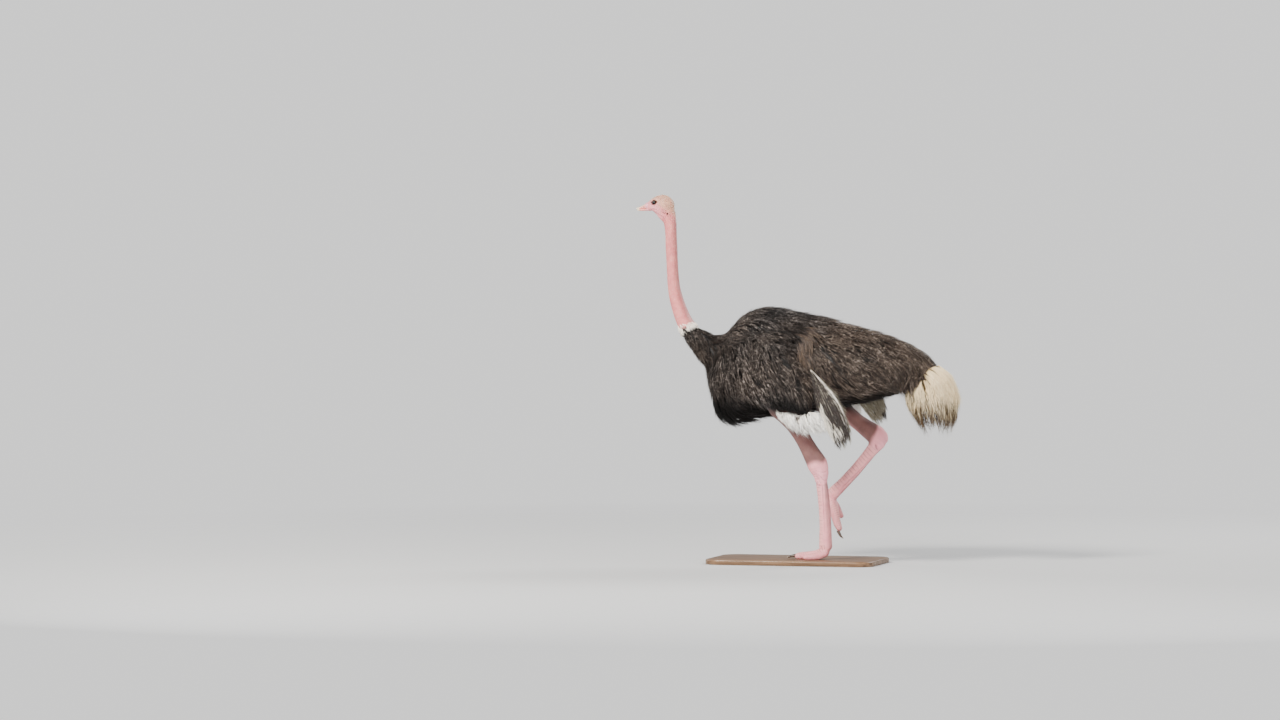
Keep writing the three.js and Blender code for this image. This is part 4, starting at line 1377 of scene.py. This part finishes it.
for index, (label, side) in enumerate(SIDES.items()):
    rng = np.random.default_rng(40 + index)

    # The coverts: the part of the body's plumes that is rooted on this wing.
    name = f"wing_{label}_coverts"
    own = part == 2 + index
    wing_roots, wing_out = roots[own], out[own]
    edge = smooth(0.0, 0.12, wing_roots[:, 2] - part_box(name)[0].z)
    length = 0.33 + 0.12 * smooth(0.02, 0.12, wing_roots[:, 0]) + 0.55 * edge
    length = WING_PLUME_LENGTH * length * rng.uniform(0.75, 1.25, len(wing_roots))
    line, outs = combed(
        wing_roots, wing_out, wing_lie, form_tree, rng, length, COVERT_LAYER, droop=0.3, cling=0.9
    )
    hairs, ways, owner = barbs_of(line, outs, rng, BARBS + 1, BARB_STOPS, wave=0.0036)
    brown, pale = browned(wing_roots)
    middle = np.array([0, side * WING_MIDDLE[0], WING_MIDDLE[1]])
    coat(
        f"coverts_{label}", hairs, ways, owner, unwrapped(wing_roots, middle, (1, 0, 0)),
        black_plumes, "black_plumage", name, rng=rng, brown=brown, pale=pale,
    )

    # The secondaries: a flounce of white plumes under the coverts.
    name = f"wing_{label}_secondaries"
    flounce = wrapped([node_copy(name)], 0.007, 3)
    low, high = (np.array(corner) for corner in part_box(name))
    root_level = low[2] + 0.40 * (high[2] - low[2])
    white_roots, white_out = scattered(
        flounce, SECONDARY_PLUMES, rng, lambda places, out: places[:, 2] > root_level
    )
    length = rng.uniform(*SECONDARY_LENGTH, SECONDARY_PLUMES)
    length *= 1 + 0.35 * smooth(0.08, 0.17, white_roots[:, 0])
    line, outs = combed(
        white_roots, white_out, hanging, tree_of(flounce), rng, length, SECONDARY_LAYER,
        droop=0.8, cling=0.7,
    )
    hairs, ways, owner = barbs_of(
        line, outs, rng, SECONDARY_BARBS, BARB_STOPS, fan=0.021, curl=0.008, puff=0.007, close=0.8
    )
    pale = rng.uniform(0, 0.6, SECONDARY_PLUMES)
    coat(
        f"secondaries_{label}", hairs, ways, owner, unwrapped(white_roots, (low + high) / 2, (1, 0, 0)),
        white_plumes, "white_plumes", name, rng=rng, pale=pale,
    )

    # The flight plumes: a dark outer row edged with cream, over an inner row of white plumes painted grey
    # as shade.
    name = f"wing_{label}_primaries"
    middle, halves, wide = spine(name, 7)
    outward = np.array([0.0, side, 0.0])
    barbs = {kind: [] for kind in vane_finishes}
    shafts = []
    for row, quills, layer in (("dark", FLIGHT_PLUMES, FLIGHT_OUT), ("grey", LINING_PLUMES, LINING_OUT)):
        for quill in range(quills):
            offset = -0.95 + 1.9 * quill / (quills - 1)
            shares = np.linspace(0, rng.uniform(0.88, 1.0), QUILL_STOPS)
            path, half = eased(middle, halves, shares)
            fan = 0.05 + 0.95 * np.sin(np.pi * np.minimum(0.5, shares * 0.8))
            path = path + wide * (half * offset * fan)[:, None]
            path += outward * (layer - 0.008 * abs(offset))
            shafts.append(path)
            lines, share = loose_barbs(path, wide, outward, rng, FLIGHT_BARBS, FLIGHT_BARB_REACH)
            rearward = (lines[:, -1] - lines[:, 0]) @ wide > 0
            edging, cream = cream_barbs(share, rearward, offset, rng)
            lines[edging] = lines[edging, :1] + 0.5 * (lines[edging] - lines[edging, :1])
            where = np.column_stack([share, np.full(len(share), (quill + 0.5) / quills)])
            if row == "grey":
                barbs["grey"].append((lines, where))
            else:
                barbs["cream"].append((lines[cream] + outward * 0.003, where[cream]))
                barbs["dark"].append((lines[~cream], where[~cream]))
    for kind, finish in vane_finishes.items():
        lines = np.concatenate([rows for rows, _ in barbs[kind]])
        spots = 0.01 + 0.98 * np.concatenate([where for _, where in barbs[kind]])
        ways = np.broadcast_to(outward, lines.shape)
        pale = 0.15 + 0.6 * (rng.random(len(lines)) > 0.88)
        coat(
            f"flight_{kind}_{label}", lines, ways, np.arange(len(lines)), spots, finish,
            "white_plumes", name, rng=rng, width=FLIGHT_BARB_WIDTH, pale=pale,
        )
    shafts = np.array(shafts)
    ways = np.broadcast_to(outward, shafts.shape)
    count = len(shafts)
    spots = np.column_stack([np.full(count, 0.5), (np.arange(count) + 0.5) / count])
    coat(
        f"quills_{label}", shafts, ways, np.arange(count), spots, quill_horn, "white_plumes",
        name, rng=rng, width=QUILL_RADIUS, thin=0.9,
    )


# ---- Tail ----
# A drooping bunch of cream plumes from the end of the rump. They hang down as a loose skirt, and
# their lower ends are brown and worn to points.

TAIL_PLUMES = 440
TAIL_BARBS = 19
TAIL_LOCKS = 5
TAIL_STOPS = 5
TAIL_LENGTH = (0.11, 0.22)
TAIL_LAYER = 0.024
TAIL_BARB_WIDTH = 0.0013
TAIL_MIDDLE = (0.80, 0, 1.0)
BROWN_TOP, BROWN_LOW = 1.045, 0.960
BROWN_BY_PLUME, BROWN_BY_BARB = 0.05, 0.140
TAIL_CREAMS = "#cdb07c", "#ffe9bd", "#fff3d8"
TAIL_BROWNS = "#4a321c", "#544028", "#8a724c"


def tail_lie(places, out):
    """Back over the root of the tail, then straight down all round."""
    over = smooth(0.97, 1.17, places[:, 2])
    spread = 0.25 * np.tanh(places[:, 1] / 0.08)
    flare = 0.32 * np.tanh(np.maximum(0, places[:, 0] - 0.80) / 0.1) * (1 - over)
    return np.column_stack([0.9 * over + 0.05 + flare, spread * over, -1.0 + 0.6 * over])


def tail_worth(places, out):
    """All round the tail but underneath, and most at its top."""
    z = places[:, 2]
    return (out[:, 2] > -0.75) * smooth(0.845, 0.90, z) * (1 + 1.5 * smooth(1.00, 1.06, z))


def tail_finish():
    """Cream plumes that turn dark brown lower down, each plume and barb from its own height."""
    finish, tree, shader = new_finish("tail_plumes", Roughness=0.7, Sheen_Weight=0.2, Sheen_Roughness=0.4)
    level = put(tree, "SeparateXYZ", {0: put(tree, "TexCoord").outputs["Object"]}).outputs["Z"]
    own = sums(tree, "MULTIPLY_ADD", attribute(tree, "pale"), BROWN_BY_PLUME, level)
    own = sums(tree, "MULTIPLY_ADD", attribute(tree, "strand"), BROWN_BY_BARB, own)
    browning = ranged(tree, own, BROWN_TOP, BROWN_LOW)
    pairs = zip(TAIL_CREAMS, TAIL_BROWNS)
    tones = [blended(tree, browning, tint(cream), tint(brown)) for cream, brown in pairs]
    toned_barbs(tree, shader, *tones, 0.35)
    return finish


rng = np.random.default_rng(61)
skirt = wrapped([node_copy("tail")], 0.009, 5)
tail_roots, tail_out = scattered(skirt, TAIL_PLUMES, rng, tail_worth)
length = rng.uniform(*TAIL_LENGTH, TAIL_PLUMES) * (0.6 + 0.4 * smooth(0.86, 1.0, tail_roots[:, 2]))
line, outs = combed(
    tail_roots, tail_out, tail_lie, tree_of(skirt), rng, length, TAIL_LAYER,
    droop=0.5, cling=0.72, stray=0.14,
)
hairs, ways, owner = barbs_of(
    line, outs, rng, TAIL_BARBS, TAIL_STOPS, fan=0.024, curl=0.010, wave=0.004, puff=0.008,
    close=0.75, reach=(0.45, 1.15), locks=TAIL_LOCKS,
)
coat(
    "tail_skirt", hairs, ways, owner, unwrapped(tail_roots, np.array(TAIL_MIDDLE), (0, 0, 1)),
    tail_finish(), "tail_plumes", "tail", width=TAIL_BARB_WIDTH, locks=TAIL_LOCKS,
    pale=rng.random(TAIL_PLUMES), rng=rng,
)


# ---- Neck ring, down and bristles ----
# A collar of short white plumes parts the bare neck from the black breast. The neck carries a thin
# down, the crown and cheeks a dense pale bristle, and each upper lid a row of black lashes.

RING_PLUMES = 260
RING_LOW, RING_HIGH = 1.352, 1.392
RING_SLANT, RING_FRONT = 0.30, 0.68
NECK_MIDDLE = (-0.76, 0, 1.7)
NECK_DOWN = 4000
DOWN_TOP = 2.03
HEAD_BRISTLES = 10000
LASHES = 110
LASH_WIDTH = 0.00036
DOWN_WHITES = "#fae8d4", "#fff7e9", "#ffffff"
BRISTLE_TONES = "#bb9a85", "#dcc1a8", "#efe0cc"
LASH_TONES = "#0b0706", "#241713"


def down_neck(places, out):
    """Down the neck, and to the rear as the neck leans back."""
    lean = smooth(1.62, 1.35, places[:, 2])
    return np.column_stack([0.05 + 0.45 * lean, 0 * lean, -1 + 0.2 * lean])


def off_face(places, out):
    """Back from the bill over the crown and cheeks, then down the nape."""
    nape = smooth(-0.80, -0.76, places[:, 0])
    return np.column_stack([1 - 0.8 * nape, 0 * nape, 0.15 - 1.1 * nape])


def ring_level(places):
    """How high each place is on the neck, measured square to the leaning neck's foot."""
    return places[:, 2] - RING_SLANT * (places[:, 0] + RING_FRONT)


def ring_worth(places, out):
    """A band round the neck's foot with a jagged lower edge."""
    level = ring_level(places)
    jag = 0.009 * wander(places, 0.030, 9)
    return ((level > RING_LOW + jag) & (level < RING_HIGH) & (places[:, 0] < -0.55)) * 1.0


def neck_worth(places, out):
    """The neck above the ring, with more down on its lower half."""
    x, _, z = places.T
    on_neck = (ring_level(places) > RING_HIGH) * (x < -0.55) * (z < DOWN_TOP)
    return on_neck * (0.4 + 0.6 * smooth(1.9, 1.5, z))


def head_worth(places, out):
    """The crown and cheeks, clear of the eyes and ears."""
    x, _, z = places.T
    eye = np.hypot(x - eye_x, z - eye_z)
    clear = smooth(0.018, 0.030, eye) * (np.hypot(x - EAR_PLACE[0], z - EAR_PLACE[2]) > EAR_SIZE)
    crown = smooth(2.02, 2.07, z + 0.55 * (x + 0.80)) * smooth(-0.893, -0.868, x)
    return (z > THROAT_LEVEL) * clear * (0.03 + crown)


hide_tree = tree_of(hide)
rng = np.random.default_rng(83)
white_down = plume_finish("white_down", DOWN_WHITES)
pale_bristle = plume_finish("pale_bristle", BRISTLE_TONES)


def down_coat(
    name, count, worth, lie, size, finish, slot, *, width, barbs=1, stops=3, fan=0.0015, lift=0.0018
):
    """A coat of short plumes, down or bristles that grow from the bare hide."""
    low_roots, low_out = scattered(hide, count, rng, worth)
    length = rng.uniform(*size, count)
    line, outs = combed(low_roots, low_out, lie, hide_tree, rng, length, 0.001, lift=lift)
    hairs, ways, owner = barbs_of(
        line, outs, rng, barbs, stops, fan=fan, narrow=0.0006, puff=0.0008, wave=0.0006, curl=0.0012
    )
    spots = unwrapped(low_roots, np.array(NECK_MIDDLE), (0, 0, 1))
    pale = rng.random(count)
    coat(name, hairs, ways, owner, spots, finish, slot, rng=rng, width=width, pale=pale)


down_coat(
    "ring_plumes", RING_PLUMES, ring_worth, down_neck, (0.026, 0.058), white_down, "neck_skin",
    width=0.0011, barbs=9, stops=BARB_STOPS, fan=0.010, lift=0.003,
)
down_coat(
    "neck_down", NECK_DOWN, neck_worth, down_neck, (0.005, 0.010), white_down, "neck_skin",
    width=0.00015,
)
down_coat(
    "head_bristles", HEAD_BRISTLES, head_worth, off_face, (0.005, 0.009), pale_bristle, "head_skin",
    width=0.00024,
)

lash_black = shaft_finish("lash_black", 300, LASH_TONES)
for label, side in SIDES.items():
    ahead, along, upright = eye_ways(side)
    across = np.linspace(-1.02, 1.02, LASHES) + rng.normal(0, 0.02, LASHES)
    above = LID_RISE * np.maximum(0, 1 - across**2) + rng.uniform(0.0002, 0.0012, LASHES)
    slit = along * (across * LID_HALF_LENGTH)[:, None] + upright * above[:, None]
    deep = np.sqrt(np.maximum(1e-6, (eye_radius + 0.0015) ** 2 - (slit**2).sum(1)))
    root = eye_middles[label] + slit + ahead * deep[:, None]
    out_way = unit(0.75 * ahead + along * (0.95 * across)[:, None] + upright * 0.30)
    stop = np.linspace(0, 1, 5)[:, None]
    size = rng.uniform(0.006, 0.011, (LASHES, 1, 1))
    sag = ahead * 0.1 - upright * 0.9
    lines = root[:, None] + out_way[:, None] * stop * size + sag * stop**2 * size * 0.55
    spots = np.column_stack([np.linspace(0.02, 0.98, LASHES), np.full(LASHES, 0.5)])
    coat(
        f"lashes_{label}", lines, np.broadcast_to(upright, lines.shape), np.arange(LASHES), spots,
        lash_black, "eye", rng=rng, width=LASH_WIDTH, thin=0.9,
    )


# ---- Studio ----
# A pale floor that melts into a pale surround, one large soft light from the upper front left,
# weaker ones low in front and from the right, and a rim from behind. The camera stands far off.

CAMERA_AZIMUTH = math.radians(15)
CAMERA_ELEVATION = math.radians(2)
CAMERA_DISTANCE = 40.0
FRAME_WIDTH = 7.4419
FRAME_RIGHT = -0.9157
FRAME_UP = 1.1512
FLOOR_RADIUS = 9.0
FLOOR_FADE = (2.6, 6.5)
PAPER = (0.55, 0.55, 0.545, 1)
SKY, SKY_STRENGTH = (0.86, 0.87, 0.89, 1), 0.54
SURROUND, SURROUND_STRENGTH = (0.90, 0.90, 0.895, 1), 1.25


def soft_light(name, place, target, size, power, colour=(1, 1, 1), mirrored=True):
    """A round soft lamp aimed at a target, which the eyes may mirror or not."""
    lamp = bpy.data.lights.new(name, "AREA")
    lamp.shape = "DISK"
    lamp.size = size
    lamp.energy = power
    lamp.color = colour
    holder = bpy.data.objects.new(name, lamp)
    holder.location = place
    holder.visible_glossy = mirrored
    holder.rotation_euler = (Vector(target) - Vector(place)).to_track_quat("-Z", "Y").to_euler()
    bpy.context.scene.collection.objects.link(holder)


loose = bmesh.new()
bmesh.ops.create_circle(loose, cap_ends=True, segments=96, radius=FLOOR_RADIUS)
floor_mesh = set_down(loose, "floor")
paper, tree, shader = new_finish("floor_paper", Roughness=0.9, Base_Color=PAPER)
centre = put(tree, "VectorMath", {0: put(tree, "TexCoord").outputs["Object"]}, operation="LENGTH")
fade = ranged(tree, centre.outputs["Value"], *FLOOR_FADE)
clear = put(tree, "BsdfTransparent")
faded = put(tree, "MixShader", {0: fade, 1: shader.outputs[0], 2: clear.outputs[0]})
joined(tree, faded.outputs[0], tree.nodes["Material Output"], "Surface")
floor_mesh.materials.append(paper)
floor = bpy.data.objects.new("floor", floor_mesh)
bpy.context.scene.collection.objects.link(floor)

soft_light("key", (-4.5, -8.5, 8.5), (0, 0, 1.1), 3.0, 2520, (1.0, 0.97, 0.92))
soft_light("fill", (4.5, -6.5, 1.6), (0.2, 0, 0.8), 3.5, 480, mirrored=False)
soft_light("low", (-2.5, -6.5, 0.8), (0.3, 0, 0.6), 2.5, 200, mirrored=False)
soft_light("rim", (3.5, 5.5, 5.0), (0, 0, 1.2), 3.0, 520)
soft_light("front", (-7.0, 3.0, 4.0), (-0.4, 0, 1.4), 3.0, 220)
world = bpy.data.worlds.new("surround")
world.use_nodes = True
tree = world.node_tree
sky = tree.nodes["Background"]
sky.inputs["Color"].default_value = SKY
sky.inputs["Strength"].default_value = SKY_STRENGTH
surround = put(tree, "Background", {"Color": SURROUND, "Strength": SURROUND_STRENGTH})
seen = put(tree, "LightPath").outputs["Is Camera Ray"]
either = put(tree, "MixShader", {0: seen, 1: sky.outputs[0], 2: surround.outputs[0]})
joined(tree, either.outputs[0], tree.nodes["World Output"], "Surface")
bpy.context.scene.world = world

right = Vector((math.cos(CAMERA_AZIMUTH), math.sin(CAMERA_AZIMUTH), 0))
flat = math.cos(CAMERA_ELEVATION)
back = Vector((right.y * flat, -right.x * flat, math.sin(CAMERA_ELEVATION)))
up = back.cross(right)
camera = bpy.data.cameras.new("camera")
camera.lens = camera.sensor_width * CAMERA_DISTANCE / FRAME_WIDTH
camera.clip_end = 200
stand = bpy.data.objects.new("camera", camera)
stand.matrix_world = Matrix((right, up, back)).transposed().to_4x4()
foot_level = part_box("stand_base")[1].z
stand.location = Vector((0, 0, foot_level)) + right * FRAME_RIGHT + up * FRAME_UP + back * CAMERA_DISTANCE
bpy.context.scene.collection.objects.link(stand)
bpy.context.scene.camera = stand
